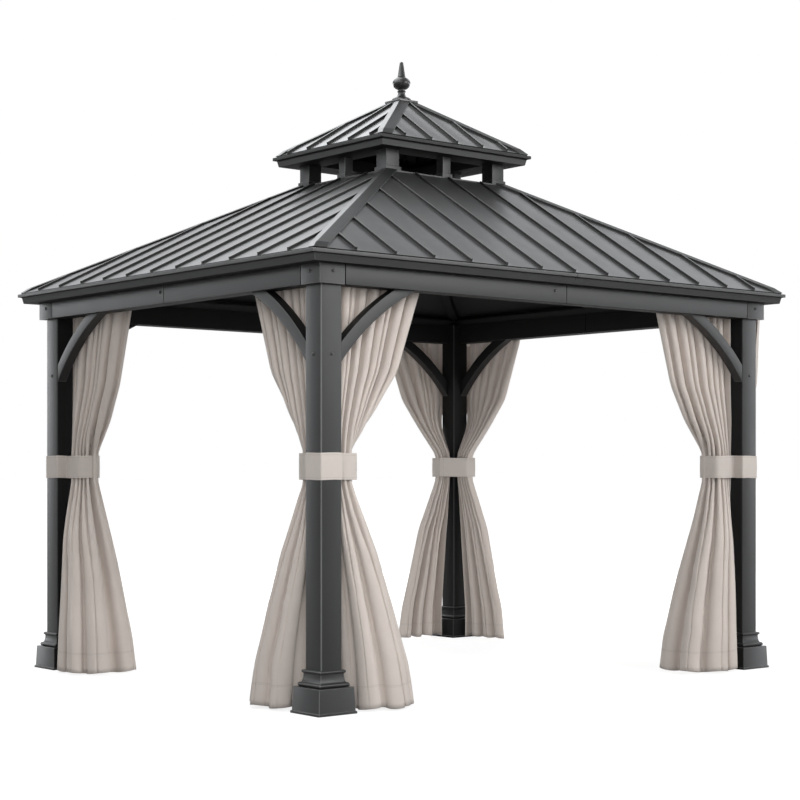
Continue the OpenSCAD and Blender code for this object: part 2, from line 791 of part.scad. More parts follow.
front_left_post();
front_right_post();
back_left_post();
back_right_post();
front_left_base();
front_right_base();
back_left_base();
back_right_base();
front_beam();
back_beam();
left_beam();
right_beam();
corner_covers();
front_left_braces();
front_right_braces();
back_left_braces();
back_right_braces();
wall_plates();
hip_rafters();
middle_rafters();
front_roof();
back_roof();
left_roof();
right_roof();
hip_caps();
front_eave();
back_eave();
left_eave();
right_eave();
roof_curb();
cupola_corner_posts();
cupola_middle_posts();
cupola_frame();
upper_front_roof();
upper_back_roof();
upper_left_roof();
upper_right_roof();
upper_hip_caps();
upper_hip_rafters();
upper_eaves();
roof_cap();
finial();
curtain_rails();
front_left_curtains();
front_right_curtains();
back_left_curtains();
back_right_curtains();
front_left_tie();
front_right_tie();
back_left_tie();
back_right_tie();
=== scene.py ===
import math
import bmesh
import bpy
import numpy as np
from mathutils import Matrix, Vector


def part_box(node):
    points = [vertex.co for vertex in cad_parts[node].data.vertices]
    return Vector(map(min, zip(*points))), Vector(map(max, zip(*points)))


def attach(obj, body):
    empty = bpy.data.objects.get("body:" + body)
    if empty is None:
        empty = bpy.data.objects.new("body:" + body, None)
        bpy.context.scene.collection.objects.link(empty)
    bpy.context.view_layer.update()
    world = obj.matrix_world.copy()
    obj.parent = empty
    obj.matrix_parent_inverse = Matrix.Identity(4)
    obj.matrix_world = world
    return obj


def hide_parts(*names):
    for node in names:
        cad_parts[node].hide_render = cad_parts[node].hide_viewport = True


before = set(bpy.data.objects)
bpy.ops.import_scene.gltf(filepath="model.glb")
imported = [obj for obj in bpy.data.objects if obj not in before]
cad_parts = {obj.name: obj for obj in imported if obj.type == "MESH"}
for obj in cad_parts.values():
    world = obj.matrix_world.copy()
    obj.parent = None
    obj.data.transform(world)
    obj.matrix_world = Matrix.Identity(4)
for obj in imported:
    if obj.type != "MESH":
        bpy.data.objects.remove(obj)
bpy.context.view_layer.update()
scene = bpy.context.scene
scene.view_settings.view_transform = "Standard"
print("gazebo: frame loaded,", len(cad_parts), "nodes")

cornerNames = {"front_left": (-1, -1), "front_right": (1, -1), "back_left": (-1, 1), "back_right": (1, 1)}
sideNames = ["front", "right", "back", "left"]    # counted as a turn about Z from the front


# low and high corner of a CAD node
def span(node):
    low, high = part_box(node)
    return np.array(low), np.array(high)


# shader expressions

class Wire:
    # a socket that can be added, subtracted, multiplied and divided, each adding one Math node
    def __init__(self, tree, socket=None):
        self.tree = tree
        self.socket = socket

    def feed(self, target, value):
        if isinstance(value, Wire):
            self.tree.links.new(value.socket, target)
        else:
            target.default_value = value

    def node(self, kind, settings=None, inputs=None, out=0):
        made = self.tree.nodes.new(kind)
        for name, value in (settings or {}).items():
            setattr(made, name, value)
        for name, value in (inputs or {}).items():
            self.feed(made.inputs[name], value)
        return Wire(self.tree, made.outputs[out] if made.outputs else None)

    def also(self, out):
        return Wire(self.tree, self.socket.node.outputs[out])

    def sum(self, operation, first, second):
        return self.node("ShaderNodeMath", {"operation": operation}, {0: first, 1: second})

    def __add__(self, other): return self.sum("ADD", self, other)
    def __radd__(self, other): return self.sum("ADD", other, self)
    def __sub__(self, other): return self.sum("SUBTRACT", self, other)
    def __rsub__(self, other): return self.sum("SUBTRACT", other, self)
    def __mul__(self, other): return self.sum("MULTIPLY", self, other)
    def __truediv__(self, other): return self.sum("DIVIDE", self, other)

    def clip(self):
        return self.node("ShaderNodeClamp", None, {"Value": self})

    # 0 up to an edge, then rising to 1 over a width
    def fade(self, edge, width):
        return ((self - edge) / width).clip()

    def sine(self):
        return self.node("ShaderNodeMath", {"operation": "SINE"}, {0: self})

    def above(self, edge):
        return self.sum("GREATER_THAN", self, edge)

    def noise(self, place, scale, detail=2.0, roughness=0.5):
        return self.node("ShaderNodeTexNoise", None,
                         {"Vector": place, "Scale": scale, "Detail": detail, "Roughness": roughness})

    def blend(self, share, first, second):
        return self.node("ShaderNodeMix", {"data_type": "RGBA"},
                         {"Factor": share, 6: first, 7: second}, out=2)

    def stretch(self, place, size):
        return self.node("ShaderNodeMapping", None, {"Vector": place, "Scale": size})


# An empty material and a wire into its nodes
def newLook(name):
    look = bpy.data.materials.new(name)
    look.use_nodes = True
    look.node_tree.nodes.clear()
    return look, Wire(look.node_tree)


# A surface from its inputs, mixed with a translucent one where light comes through
def closeLook(wire, inputs, through=None):
    shader = wire.node("ShaderNodeBsdfPrincipled", None, inputs)
    if through:
        thin = wire.node("ShaderNodeBsdfTranslucent", None, {"Color": through[1]})
        shader = wire.node("ShaderNodeMixShader", None, {"Fac": through[0], 1: shader, 2: thin})
    wire.node("ShaderNodeOutputMaterial", None, {"Surface": shader})


# A grey, with red raised and blue lowered by the same share
def grey(value, warm=0.0):
    return (value * (1 + warm), value, value * (1 - warm), 1)


metalGrain = {"cloud": (2.3, 3.0), "fleck": (160.0, 2.0, 0.6), "skin": (620.0, 1.0), "dust": (9.0, 5.0, 0.65),
              "runs": (26.0, 1.1, 1.0), "specks": 0.25, "edge": 0.006, "rubAndHighlight": 12.0, "bareAndHighlight": 4.5,
              "dark": 0.82, "light": 1.2, "darkWarm": -0.012, "lightWarm": -0.004, "dustDull": 0.12,
              "fleckDull": 0.06, "rubDull": 0.08, "peelDepth": 0.0006}


# Powder-coated metal: a slow change of tone, a fine orange peel in the bump, a little dust that
# makes it duller, and edges made lighter, partly as paint rubbed through and partly as a painted highlight.
def coatedMetal(name, tone, rough, peel, wearAndHighlight, gloss=0.5, streak=0.0):
    g = metalGrain
    look, w = newLook(name)
    place = w.node("ShaderNodeTexCoord", out="Object")
    cloud, fleck, skin, dust = [w.noise(place, *g[kind]) for kind in ("cloud", "fleck", "skin", "dust")]
    specks = min(1.0, peel * 6)
    normal = w.node("ShaderNodeNewGeometry", out="Normal")
    rounded = w.node("ShaderNodeBevel", {"samples": 4}, {"Radius": g["edge"]})
    facing = w.node("ShaderNodeVectorMath", {"operation": "DOT_PRODUCT"}, {0: normal, 1: rounded}, out="Value")
    # edges made lighter: partly paint rubbed through, partly a painted highlight where rounded edges catch light
    rubAndHighlight = ((1 - facing) * g["rubAndHighlight"] * (0.4 + dust)).clip() * wearAndHighlight
    shade = (cloud * (1 - g["specks"] * specks) + fleck * g["specks"] * specks).clip()
    if streak > 0:
        runs = w.noise(w.stretch(w.node("ShaderNodeUVMap", {"uv_map": "sheet"}), g["runs"]), 1.0, 3.0)
        shade = (shade * (1 - streak) + runs * streak).clip()
    colour = w.blend(shade, grey(tone * g["dark"], g["darkWarm"]), grey(tone * g["light"], g["lightWarm"]))
    colour = w.blend(rubAndHighlight, colour, grey(tone * g["bareAndHighlight"]))
    dull = rough + (dust - 0.5) * g["dustDull"] + (fleck - 0.5) * g["fleckDull"] * specks - rubAndHighlight * g["rubDull"]
    bump = w.node("ShaderNodeBump", None,
                  {"Strength": peel, "Distance": g["peelDepth"], "Height": skin * 0.7 + fleck * 0.3})
    closeLook(w, {"Base Color": colour, "Roughness": dull, "Normal": bump, "Specular IOR Level": gloss})
    return look


weaveGrain = {"thread": 0.0016, "stitch": 0.009, "stitchGap": -0.35, "slub": (30.0, 480.0, 1.0),
              "cloud": (7.0, 4.0, 0.6), "dark": 0.84, "light": 1.12, "sewn": 0.55, "depth": 0.0009}


# Woven cloth on the sheet's own map in metres: two sets of threads crossing, slubs along the weft,
# soft clouding, and sewn lines at the distances from the edges that a hem has.
def wovenCloth(name, tone, hem, thin):
    g = weaveGrain
    look, w = newLook(name)
    uv = w.node("ShaderNodeUVMap", {"uv_map": "sheet"})
    split = w.node("ShaderNodeSeparateXYZ", None, {"Vector": uv})
    across, down = split, split.also("Y")
    pitch = 2 * math.pi / g["thread"]
    warp = (across * pitch).sine() * 0.5 + 0.5
    weft = (down * pitch).sine() * 0.5 + 0.5
    weave = warp * weft + (1 - warp) * (1 - weft)
    slub = w.noise(w.stretch(uv, g["slub"]), 1.0, 2.0)
    cloud = w.noise(uv, *g["cloud"])
    seam = None
    for edge in hem:
        line, run = (down, across) if edge["along"] == "across" else (across, down)
        near = w.sum("COMPARE", line, edge["at"])
        near.socket.node.inputs[2].default_value = edge["half"]
        dash = (run * (2 * math.pi / g["stitch"])).sine().above(g["stitchGap"])
        sewn = near * (0.45 + dash * 0.55)
        seam = sewn if seam is None else w.sum("MAXIMUM", seam, sewn)
    shade = (cloud * 0.45 + slub * 0.3 + weave * 0.25).clip()
    dark, light, sewn = [(*(g[kind] * c for c in tone), 1) for kind in ("dark", "light", "sewn")]
    colour = w.blend(shade, dark, light)
    colour = w.blend(seam * 0.5, colour, sewn)
    height = weave * 0.5 + slub * 0.3 + cloud * 0.2 - seam * 0.9
    bump = w.node("ShaderNodeBump", None, {"Strength": 0.35, "Distance": g["depth"], "Height": height})
    closeLook(w, {"Base Color": colour, "Roughness": 0.93 - shade * 0.1, "Normal": bump,
                  "Sheen Weight": 0.25, "Sheen Roughness": 0.6, "Specular IOR Level": 0.25}, (thin, light))
    return look


# coats of metal: tone, roughness, orange peel, edge wear with painted edge highlight, gloss and streaks
metalCoats = {"frameCoat": (0.023, 0.36, 0.14, 0.7, 0.36), "paintedEdgeHighlight": (0.13, 0.40, 0.10, 0.0),
              "roofCoat": (0.036, 0.34, 0.04, 0.35, 0.5, 0.35), "upperRoofCoat": (0.036, 0.22, 0.02, 0.35, 0.8, 0.35),
              "hipCoat": (0.0288, 0.30, 0.03, 0.5, 0.8), "hipShadeCoat": (0.018, 0.45, 0.03, 0.5, 0.25),
              "upperBandLitCoat": (0.0576, 0.40, 0.08, 0.3), "upperLipShadeCoat": (0.010, 0.50, 0.08, 0.3, 0.3),
              "eaveCoat": (0.018, 0.42, 0.08, 0.6), "finialCoat": (0.024, 0.30, 0.0, 0.0),
              "innerShadeCoat": (0.014, 0.55, 0.2, 0.3), "paintedShadeCoat": (0.008, 0.60, 0.2, 0.2, 0.2),
              "ribSideShadeCoat": (0.010, 0.50, 0.04, 0.2, 0.3)}
(frameLook, edgeHighlightLook, roofLook, upperLook, capLook, capShadeLook, upperBandLitLook, upperLipShadeLook, eaveLook, finialLook,
 innerShadeLook, paintedShadeLook, ribShadeLook) = [coatedMetal(name, *numbers) for name, numbers in metalCoats.items()]
print("gazebo: finishes made")


# shapes

# Cells of a grid of points, each joined to its neighbours along the row and up the column
def gridFaces(rows, cols, wrapRows, wrapCols, start):
    r, c = np.meshgrid(np.arange(rows if wrapRows else rows - 1),
                       np.arange(cols if wrapCols else cols - 1), indexing="ij")
    r2, c2 = (r + 1) % rows, (c + 1) % cols
    cells = np.stack([r * cols + c, r * cols + c2, r2 * cols + c2, r2 * cols + c], -1)
    return (cells.reshape(-1, 4) + start).tolist()


# One piece from its grids of points. Shut says whether they close along rows and along columns, and
# whether the first and last rows are filled. Edges sharper than smooth, in degrees, stay sharp.
def makePiece(name, grids, stands=(), look=frameLook, coats=(), uv=None, smooth=14,
              shut=(False, True, True)):
    points, faces, start = [], [], 0
    wrapRows, wrapCols, filled = shut
    for grid in grids:
        rows, cols = grid.shape[:2]
        points.append(grid.reshape(-1, 3))
        faces += gridFaces(rows, cols, wrapRows, wrapCols, start)
        if filled:
            faces.append(list(range(start, start + cols)))
            faces.append(list(range(start + (rows - 1) * cols, start + rows * cols)))
        start += rows * cols
    mesh = bpy.data.meshes.new(name)
    mesh.from_pydata(np.concatenate(points).tolist(), [], faces)
    if uv is not None:
        layer = mesh.uv_layers.new(name="sheet")
        owner = np.empty(len(mesh.loops), np.int32)
        mesh.loops.foreach_get("vertex_index", owner)
        layer.data.foreach_set("uv", np.ascontiguousarray(uv.reshape(-1, 2)[owner], np.float32).ravel())
    shape = bmesh.new()
    shape.from_mesh(mesh)
    bmesh.ops.remove_doubles(shape, verts=shape.verts, dist=1e-6)
    bmesh.ops.dissolve_degenerate(shape, edges=shape.edges, dist=1e-7)
    bmesh.ops.recalc_face_normals(shape, faces=shape.faces)
    shape.to_mesh(mesh)
    shape.free()
    mesh.shade_smooth()
    mesh.set_sharp_from_angle(angle=math.radians(smooth))
    piece = bpy.data.objects.new(name, mesh)
    scene.collection.objects.link(piece)
    mesh.materials.append(look)
    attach(piece, "root")
    if stands:
        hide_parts(*stands)
    if coats:
        otherCoats(mesh, coats)
    return piece


# Faces picked by their direction n and middle m get another coat
def otherCoats(mesh, coats):
    n, m = np.empty((2, 3 * len(mesh.polygons)), np.float32)
    mesh.polygons.foreach_get("normal", n)
    mesh.polygons.foreach_get("center", m)
    n, m = n.reshape(-1, 3), m.reshape(-1, 3)
    index = np.zeros(len(n), np.int32)
    for number, (look, picked) in enumerate(coats, 1):
        mesh.materials.append(look)
        index[picked(n, m)] = number
    mesh.polygons.foreach_set("material_index", index)


# limits on the shares of a face's direction that decide its coat
coatShares = {"inwards": 0.85, "corner": 0.25, "below": 0.85, "soffit": 0.7, "band": 0.6, "above": 0.45, "rib": 0.72}


# Faces turned to the middle of the gazebo, which take painted shade: the larger of their two shares towards it is over
# a limit
def facingIn(n, m):
    return (-np.sign(m[:, :2]) * n[:, :2]).max(1) > coatShares["inwards"]


# Upright edges turned away on the diagonal, which get a lighter coat as a painted highlight: the smaller of their two
# shares outwards is over a limit
def outerCorner(n, m):
    return (np.sign(m[:, :2]) * n[:, :2]).min(1) > coatShares["corner"]


# Undersides of an eave, which take painted shade: the share downwards is over a limit
def soffit(n, m):
    return n[:, 2] < -coatShares["soffit"]


# Rounded outer edge on top of a lip, which gets a lighter coat as a painted highlight: the shares upwards and outwards
# are both over a limit
def lipEdge(n, m):
    return np.minimum(n[:, 2], np.abs(n[:, :2]).max(1)) > coatShares["corner"]


# frames: faces turned inwards get a near-black coat as painted shade, upright outer corners a painted highlight; eaves:
# undersides painted shade, the lip's top edge a painted highlight
frameCoats = [(paintedShadeLook, facingIn), (edgeHighlightLook, outerCorner)]
eaveCoats = [(paintedShadeLook, soffit), (edgeHighlightLook, lipEdge)]


# A closed outline with soft corners: each corner gives way to a curve that leaves one edge a set
# distance before it and joins the next edge the same distance after it
def softLoop(corners, soft, steps=4, ends=False):
    c = np.array(corners, float)
    back, on = np.roll(c, 1, 0) - c, np.roll(c, -1, 0) - c
    backLen = np.linalg.norm(back, axis=1)[:, None]
    onLen = np.linalg.norm(on, axis=1)[:, None]
    cut = np.broadcast_to(np.asarray(soft, float), (len(c),))[:, None]
    a = c + back / backLen * np.minimum(cut, 0.45 * backLen)
    b = c + on / onLen * np.minimum(cut, 0.45 * onLen)
    t = np.linspace(0, 1, steps)[None, :, None]
    curve = (1 - t) ** 2 * a[:, None] + 2 * t * (1 - t) * c[:, None] + t ** 2 * b[:, None]
    if ends:    # an open line keeps its two end points
        return np.concatenate([c[:1], curve[1:-1].reshape(-1, 2), c[-1:]])
    return curve.reshape(-1, 2)


# Points on an ellipse from one angle to another, in degrees: centre and half widths, x then z
def arc(x, z, rx, rz, first, last, steps=19):
    turn = np.radians(np.linspace(first, last, steps))
    return np.stack([x + rx * np.cos(turn), z + rz * np.sin(turn)], -1)


# A profile carried along x, or upright. Each profile point has its own start and stop on the line,
# so that the ends can lie on any plane.
def rod(loop, start, stop, upright=False):
    reach = np.stack([np.broadcast_to(end, len(loop)) for end in (start, stop)])[..., None]
    section = np.broadcast_to(loop, (2, *loop.shape))
    return np.concatenate([section, reach] if upright else [reach, section], -1)


# Square rings with round corners, one for each half width and height of an outline
def squareStack(outline, x, y, soft, steps=5):
    quarter = np.repeat(np.arange(4), steps)
    turn = np.radians(quarter * 90 + np.tile(np.linspace(0, 90, steps), 4))
    middle = np.radians(quarter * 90 + 45)
    corner = np.stack([np.cos(middle), np.sin(middle)], -1) * math.sqrt(2)
    half = outline[:, :1]
    radius = np.minimum(soft, 0.9 * half)
    px = x + corner[:, 0] * (half - radius) + np.cos(turn) * radius
    py = y + corner[:, 1] * (half - radius) + np.sin(turn) * radius
    return np.stack([px, py, np.broadcast_to(outline[:, 1:], px.shape)], -1)


# A turned shape: an outline of radius and height spun about an axis
def turning(outline, origin, across, other, axis, steps):
    turn = np.linspace(0, 2 * math.pi, steps, endpoint=False)
    ring = np.cos(turn)[:, None] * np.array(across) + np.sin(turn)[:, None] * np.array(other)
    return np.array(origin) + outline[:, None, :1] * ring[None] + outline[:, None, 1:] * np.array(axis)


# Points turned about Z by as many quarter turns as the side counts
def turned(points, side):
    c, s = [(1, 0), (0, 1), (-1, 0), (0, -1)][side]
    x, y = points[..., 0], points[..., 1]
    return np.stack([c * x - s * y, s * x + c * y, points[..., 2]], -1)


# A point measured from a post's outer corner, along x and y inwards, as a place in the frame
def inCorner(points, corner):
    sx, sy = cornerNames[corner]
    return np.stack([sx * (halfW - points[..., 0]), sy * (halfD - points[..., 1]), points[..., 2]], -1)


postLow, postHigh = span("front_left_post")
halfW, halfD = -postLow[0], -postLow[1]
postSize = postHigh[0] - postLow[0]
beamLow, beamHigh = span("front_beam")
beamZ, beamTop = beamLow[2], beamHigh[2]
beamY = -beamLow[1]
beamX = -span("left_beam")[0][0]
beamProud = beamY - halfD

# posts

postShape = {"chamfer": 0.005, "soft": 0.0012}
c, s = postShape["chamfer"], postSize
postLoop = softLoop([[c, 0], [s - c, 0], [s, c], [s, s - c], [s - c, s], [c, s], [0, s - c], [0, c]],
                    postShape["soft"], 3)
for corner in cornerNames:
    grid = inCorner(rod(postLoop, postLow[2], postHigh[2], True), corner)
    makePiece("post_" + corner, [grid], [corner + "_post"], coats=frameCoats)

# moulded bases: flange, plinth, round ring, hollow and collar, then down inside round the post

baseShape = {"flange": 0.240, "flangeH": 0.012, "plinth": 0.228, "plinthTop": 0.218, "plinthH": 0.120,
             "ring": 0.188, "ringH": 0.022, "hollowH": 0.046, "collar": 0.160, "collarH": 0.016,
             "corner": 0.004, "soft": 0.0035, "play": 0.0003}
b = baseShape
plinthZ = b["flangeH"] + b["plinthH"]
ringR, collarR = b["ringH"] / 2, b["collarH"] / 2
ringX, collarX = b["ring"] / 2 - ringR, b["collar"] / 2 - collarR
hollowZ = plinthZ + b["ringH"] + b["hollowH"]
inner = postSize / 2 + b["play"]
baseOutline = np.concatenate([
    [[inner, b["flangeH"]], [inner, hollowZ + b["collarH"]]],
    arc(collarX, hollowZ + collarR, collarR, collarR, 90, -75),
    arc(ringX, hollowZ, ringX - collarX, b["hollowH"], 186, 264),
    arc(ringX, plinthZ + ringR, ringR, ringR, 80, -80),
    softLoop([[ringX, plinthZ], [b["plinthTop"] / 2, plinthZ], [b["plinth"] / 2, b["flangeH"]],
              [b["flange"] / 2, b["flangeH"]], [b["flange"] / 2, 0]], b["soft"], 4, True)])
for corner, (sx, sy) in cornerNames.items():
    x, y = sx * (halfW - postSize / 2), sy * (halfD - postSize / 2)
    grid = squareStack(baseOutline, x, y, b["corner"])
    makePiece("base_" + corner, [grid], [corner + "_base"], coats=frameCoats)
print("gazebo: posts and bases made")

# beams in two halves joined by a narrower core, with L-shaped covers over the post heads

beamShape = {"seam": 0.006, "soft": 0.003, "core": 0.006}
seam = beamShape["seam"] / 2
for side, name in enumerate(sideNames):
    half = (halfW if side % 2 == 0 else halfD) - postSize
    out = beamY if side % 2 == 0 else beamX
    width = beamHigh[1] - beamLow[1]
    loop = softLoop([[-out, beamZ], [-out + width, beamZ], [-out + width, beamTop], [-out, beamTop]],
                    beamShape["soft"], 4)
    middle = loop.mean(0)
    inset = middle + (loop - middle) * (1 - 2 * beamShape["core"] / np.ptp(loop, axis=0))
    grids = [rod(loop, -seam, -half), rod(loop, seam, half), rod(inset, -seam, seam)]
    along = turned(np.array([1.0, 0.0, 0.0]), side)
    # inner faces, undersides and the core in the seam get the near-black coat as painted shade
    makePiece("beam_" + name, [turned(grid, side) for grid in grids], [name + "_beam"], coats=[
        (paintedShadeLook, lambda n, m: facingIn(n, m) | (n[:, 2] < -coatShares["below"]) | (np.abs(m @ along) < 2 * seam))])

coverShape = {"soft": 0.0035}
p, long = beamProud, postSize - 2 * seam
coverLoop = softLoop([[-p, -p], [long, -p], [long, 0], [0, 0], [0, long], [-p, long]], coverShape["soft"], 4)
grid = rod(coverLoop, beamZ, beamTop, True)
makePiece("cornerCovers", [inCorner(grid, corner) for corner in cornerNames], ["corner_covers"], coats=frameCoats)

# knee braces: a rounded bar bent to an arc, each fibre on its own radius from where it meets the
# post's face to where it meets the underside of the beam

braceShape = {"drop": 0.381, "run": 0.485, "depth": 0.065, "thick": 0.060, "radius": 1.300,
              "inset": 0.0035, "soft": 0.005, "stations": 28}
b = braceShape
chord = math.hypot(b["run"], b["drop"])
away = math.sqrt(b["radius"] ** 2 - chord ** 2 / 4)
centreX = b["run"] / 2 + away * b["drop"] / chord
centreZ = b["drop"] / 2 + away * b["run"] / chord
braceLoop = softLoop([[0, 0], [b["thick"], 0], [b["thick"], b["depth"]], [0, b["depth"]]], b["soft"], 5)
fibre = b["radius"] + braceLoop[:, 1]
first = math.pi - np.arccos(centreX / fibre)
last = math.pi - np.arcsin(centreZ / fibre)
turn = first + (last - first) * np.linspace(0, 1, b["stations"])[:, None]
along = postSize + centreX + fibre * np.cos(turn)
height = beamZ - centreZ + fibre * np.sin(turn)
inwards = np.broadcast_to(b["inset"] + braceLoop[:, 0], along.shape)
for corner in cornerNames:
    pair = [np.stack([along, inwards, height], -1), np.stack([inwards, along, height], -1)]
    # inner faces and upper faces of the braces get the near-black coat as painted shade
    makePiece("braces_" + corner, [inCorner(grid, corner) for grid in pair], [corner + "_braces"],
              coats=[(paintedShadeLook, lambda n, m: facingIn(n, m) | (n[:, 2] > coatShares["above"]))])
print("gazebo: beams, covers and braces made")

# roofs

curbHigh = span("roof_curb")[1]
capLow, capHigh = span("roof_cap")
eaveShape = {"lipH": 0.019, "bandH": 0.038, "lean": 0.009, "step": 0.019, "lipT": 0.012, "seam": 0.003,
             "gap": 0.0003, "soft": 0.0025, "cove": 0.007, "lipShade": 0.005}
sheetShape = {"thick": 0.008, "ribW": 0.018, "ribH": 0.014, "ribHalf": [0.0088, 0.0066, 0.0060, 0.0044],
              "ribShares": [0.0, 0.06, 0.93, 1.0], "rampShare": 0.3, "crown": 0.0016, "settle": 0.1,
              "hipPlay": 0.002, "topPlay": 0.001, "endFall": 0.0015, "panGap": 0.02, "columns": 8, "rows": 18}
hipShape = {"wing": 0.052, "endWing": 0.036, "thick": 0.012, "foot": 0.003, "taper": 0.05,
            "soft": [0.0005, 0.0005, 0.002, 0.006, 0.002, 0.0005]}
topShape = {"curbOver": 0.006, "capHalf": 0.068, "capOver": 0.024}
lipRise = eaveShape["lipH"] + eaveShape["bandH"]
lowerRoof = {"lip": (-span("left_eave")[0][0], -span("front_eave")[0][1]),
             "lipZ": span("front_eave")[0][2] + lipRise,
             "top": curbHigh[:2], "topZ": curbHigh[2] - topShape["curbOver"],
             "frame": (beamX, beamY), "pitch": 0.254, "prefix": "", "look": roofLook,
             "stop": curbHigh[:2]}
upperLow = span("upper_eaves")[0]
cupolaHigh = span("cupola_frame")[1]
upperRoof = {"lip": -upperLow[:2], "lipZ": upperLow[2] + lipRise,
             "top": (topShape["capHalf"],) * 2, "topZ": capHigh[2] - topShape["capOver"],
             "frame": cupolaHigh[:2], "pitch": 0.200, "prefix": "upper_", "look": upperLook,
             "stop": capHigh[:2]}


# Lengths of one slope: half length at the lip and at the top, the lip's distance from the middle,
# run, rise and length up the slope
def slopeOf(roof, side):
    i, j = (0, 1) if side % 2 == 0 else (1, 0)
    run = roof["lip"][j] - roof["top"][j]
    rise = roof["topZ"] - roof["lipZ"]
    return roof["lip"][i], roof["top"][i], roof["lip"][j], run, rise, math.hypot(run, rise)


# One slope as a sheet with standing seams. Columns stand at set places along the eave, and each
# runs up the slope to the hip or the top. Height over the slope is a rib's section, ramped at the
# foot and stopped at the hip cap, with a slight crown in each pan between two ribs. Gives the upper
# face, the lower face and a map in metres.
def slopeSheet(roof, side):
    s = sheetShape
    half, top, reach, run, rise, long = slopeOf(roof, side)
    angle = math.atan2(rise, run)
    narrowing = half - top
    lean = math.hypot(narrowing, long) / long
    first = eaveShape["lipT"] / math.cos(angle)
    last = long - s["thick"] * math.tan(angle) - eaveShape["gap"]
    foot = first + s["ribH"] / 2
    clear = hipShape["wing" if side % 2 == 0 else "endWing"] + eaveShape["gap"]
    room = half - narrowing * (foot + 2 * s["ribH"]) / long - hipShape["wing"] * lean - s["ribW"] / 2
    count = math.floor(room / roof["pitch"])
    edge = half - narrowing * first / long - s["thick"] * lean - s["hipPlay"]
    section = np.array(s["ribHalf"])
    lift = s["ribH"] * np.array(s["ribShares"])
    ribs = roof["pitch"] * np.arange(-count, count + 1)
    stand = (ribs[:, None] + np.concatenate([-section, section[::-1]])[None]).ravel()
    pans = np.linspace(-edge, edge, s["columns"] * (2 * count + 3))
    nearest = np.abs(pans[:, None] - ribs[None]).min(1)
    along = np.sort(np.concatenate([stand, pans[nearest > s["panGap"]]]))
    off = np.abs(along[:, None] - ribs[None]).min(1)
    ribLift = np.interp(off, section[::-1], lift[::-1])
    pan = np.clip((off - section[0]) / (roof["pitch"] / 2 - section[0]), 0, 1)
    crown = s["crown"] * np.sin(pan * math.pi / 2) ** 2
    hipT = (half - s["thick"] * lean - np.abs(along)) * long / narrowing
    clearT = (half - clear * lean - np.abs(along)) * long / narrowing
    end = np.minimum(last, hipT)
    stop = np.minimum(last - s["topPlay"], clearT)
    share = np.linspace(0, 1, s["rows"])[:, None]
    ramp = foot + s["rampShare"] * s["ribH"]
    t = np.concatenate([np.repeat([[first], [foot]], len(along), 1),
                        ramp + (stop - s["endFall"] - ramp)[None] * share, stop[None], end[None]])
    t = np.maximum.accumulate(np.clip(t, first, end), axis=0)
    rising = np.clip((t - foot) / (s["rampShare"] * s["ribH"]), 0, 1) * (t < stop - s["endFall"] / 3)
    settle = np.clip((t - first) / s["settle"], 0, 1) * np.clip((end - t) / s["settle"], 0, 1)
    up = ribLift * rising + crown * settle
    x = np.broadcast_to(along, t.shape)

    def place(lift):
        y = -reach + t * math.cos(angle) - lift * math.sin(angle)
        z = roof["lipZ"] + t * math.sin(angle) + lift * math.cos(angle)
        return turned(np.stack([x, y, z], -1), side)

    return place(up), place(np.full(t.shape, -s["thick"])), np.stack([x, t], -1)


# The four hip caps: a folded section square to the hip, each point carried along the hip from the
# plane of the lip to the plane of the curb that it meets first
def hipCaps(roof):
    h = hipShape
    origin = np.array([*roof["lip"], roof["lipZ"]])
    a = np.array([*roof["top"], roof["topZ"]]) - origin
    way = a / np.linalg.norm(a)
    across = np.array([-way[1], way[0], 0]) / np.hypot(way[0], way[1])
    up = np.cross(way, across)
    up = up * np.sign(up[2])
    endSlope = math.atan2(a[2], -a[0])
    sideSlope = math.atan2(a[2], -a[1])
    normals = np.array([[math.sin(endSlope), 0, math.cos(endSlope)], [0, math.sin(sideSlope), math.cos(sideSlope)]])
    n, m = [np.array([v @ across, v @ up]) for v in normals]

    def meet(lift):    # where two lines a set height over the slopes cross
        return np.linalg.solve(np.array([n, m]), np.array([lift, lift]))

    endWay, sideWay = [np.array([v[1], -v[0]]) * np.sign(v[0]) for v in (n, m)]    # down each slope
    inset = eaveShape["lipT"] + eaveShape["gap"]
    rows = []
    for thick, off, ends in ((h["foot"], 0.0, "lip"), (h["thick"], h["taper"], "lip"), (h["thick"], 0.0, "stop")):
        section = [meet(0.0), endWay * h["endWing"], endWay * h["endWing"] + n * thick, meet(thick),
                   sideWay * h["wing"] + m * thick, sideWay * h["wing"]]
        loop = softLoop(section, h["soft"], 5)
        points = origin + loop[:, :1] * across + loop[:, 1:] * up
        back = -inset if ends == "lip" else eaveShape["gap"]
        reach = np.maximum((roof[ends][0] + back - points[:, 0]) / way[0],
                           (roof[ends][1] + back - points[:, 1]) / way[1])
        rows.append(points + (reach + off)[:, None] * way)
    return [np.stack(rows) * np.array([sx, sy, 1]) for sx, sy in cornerNames.values()]


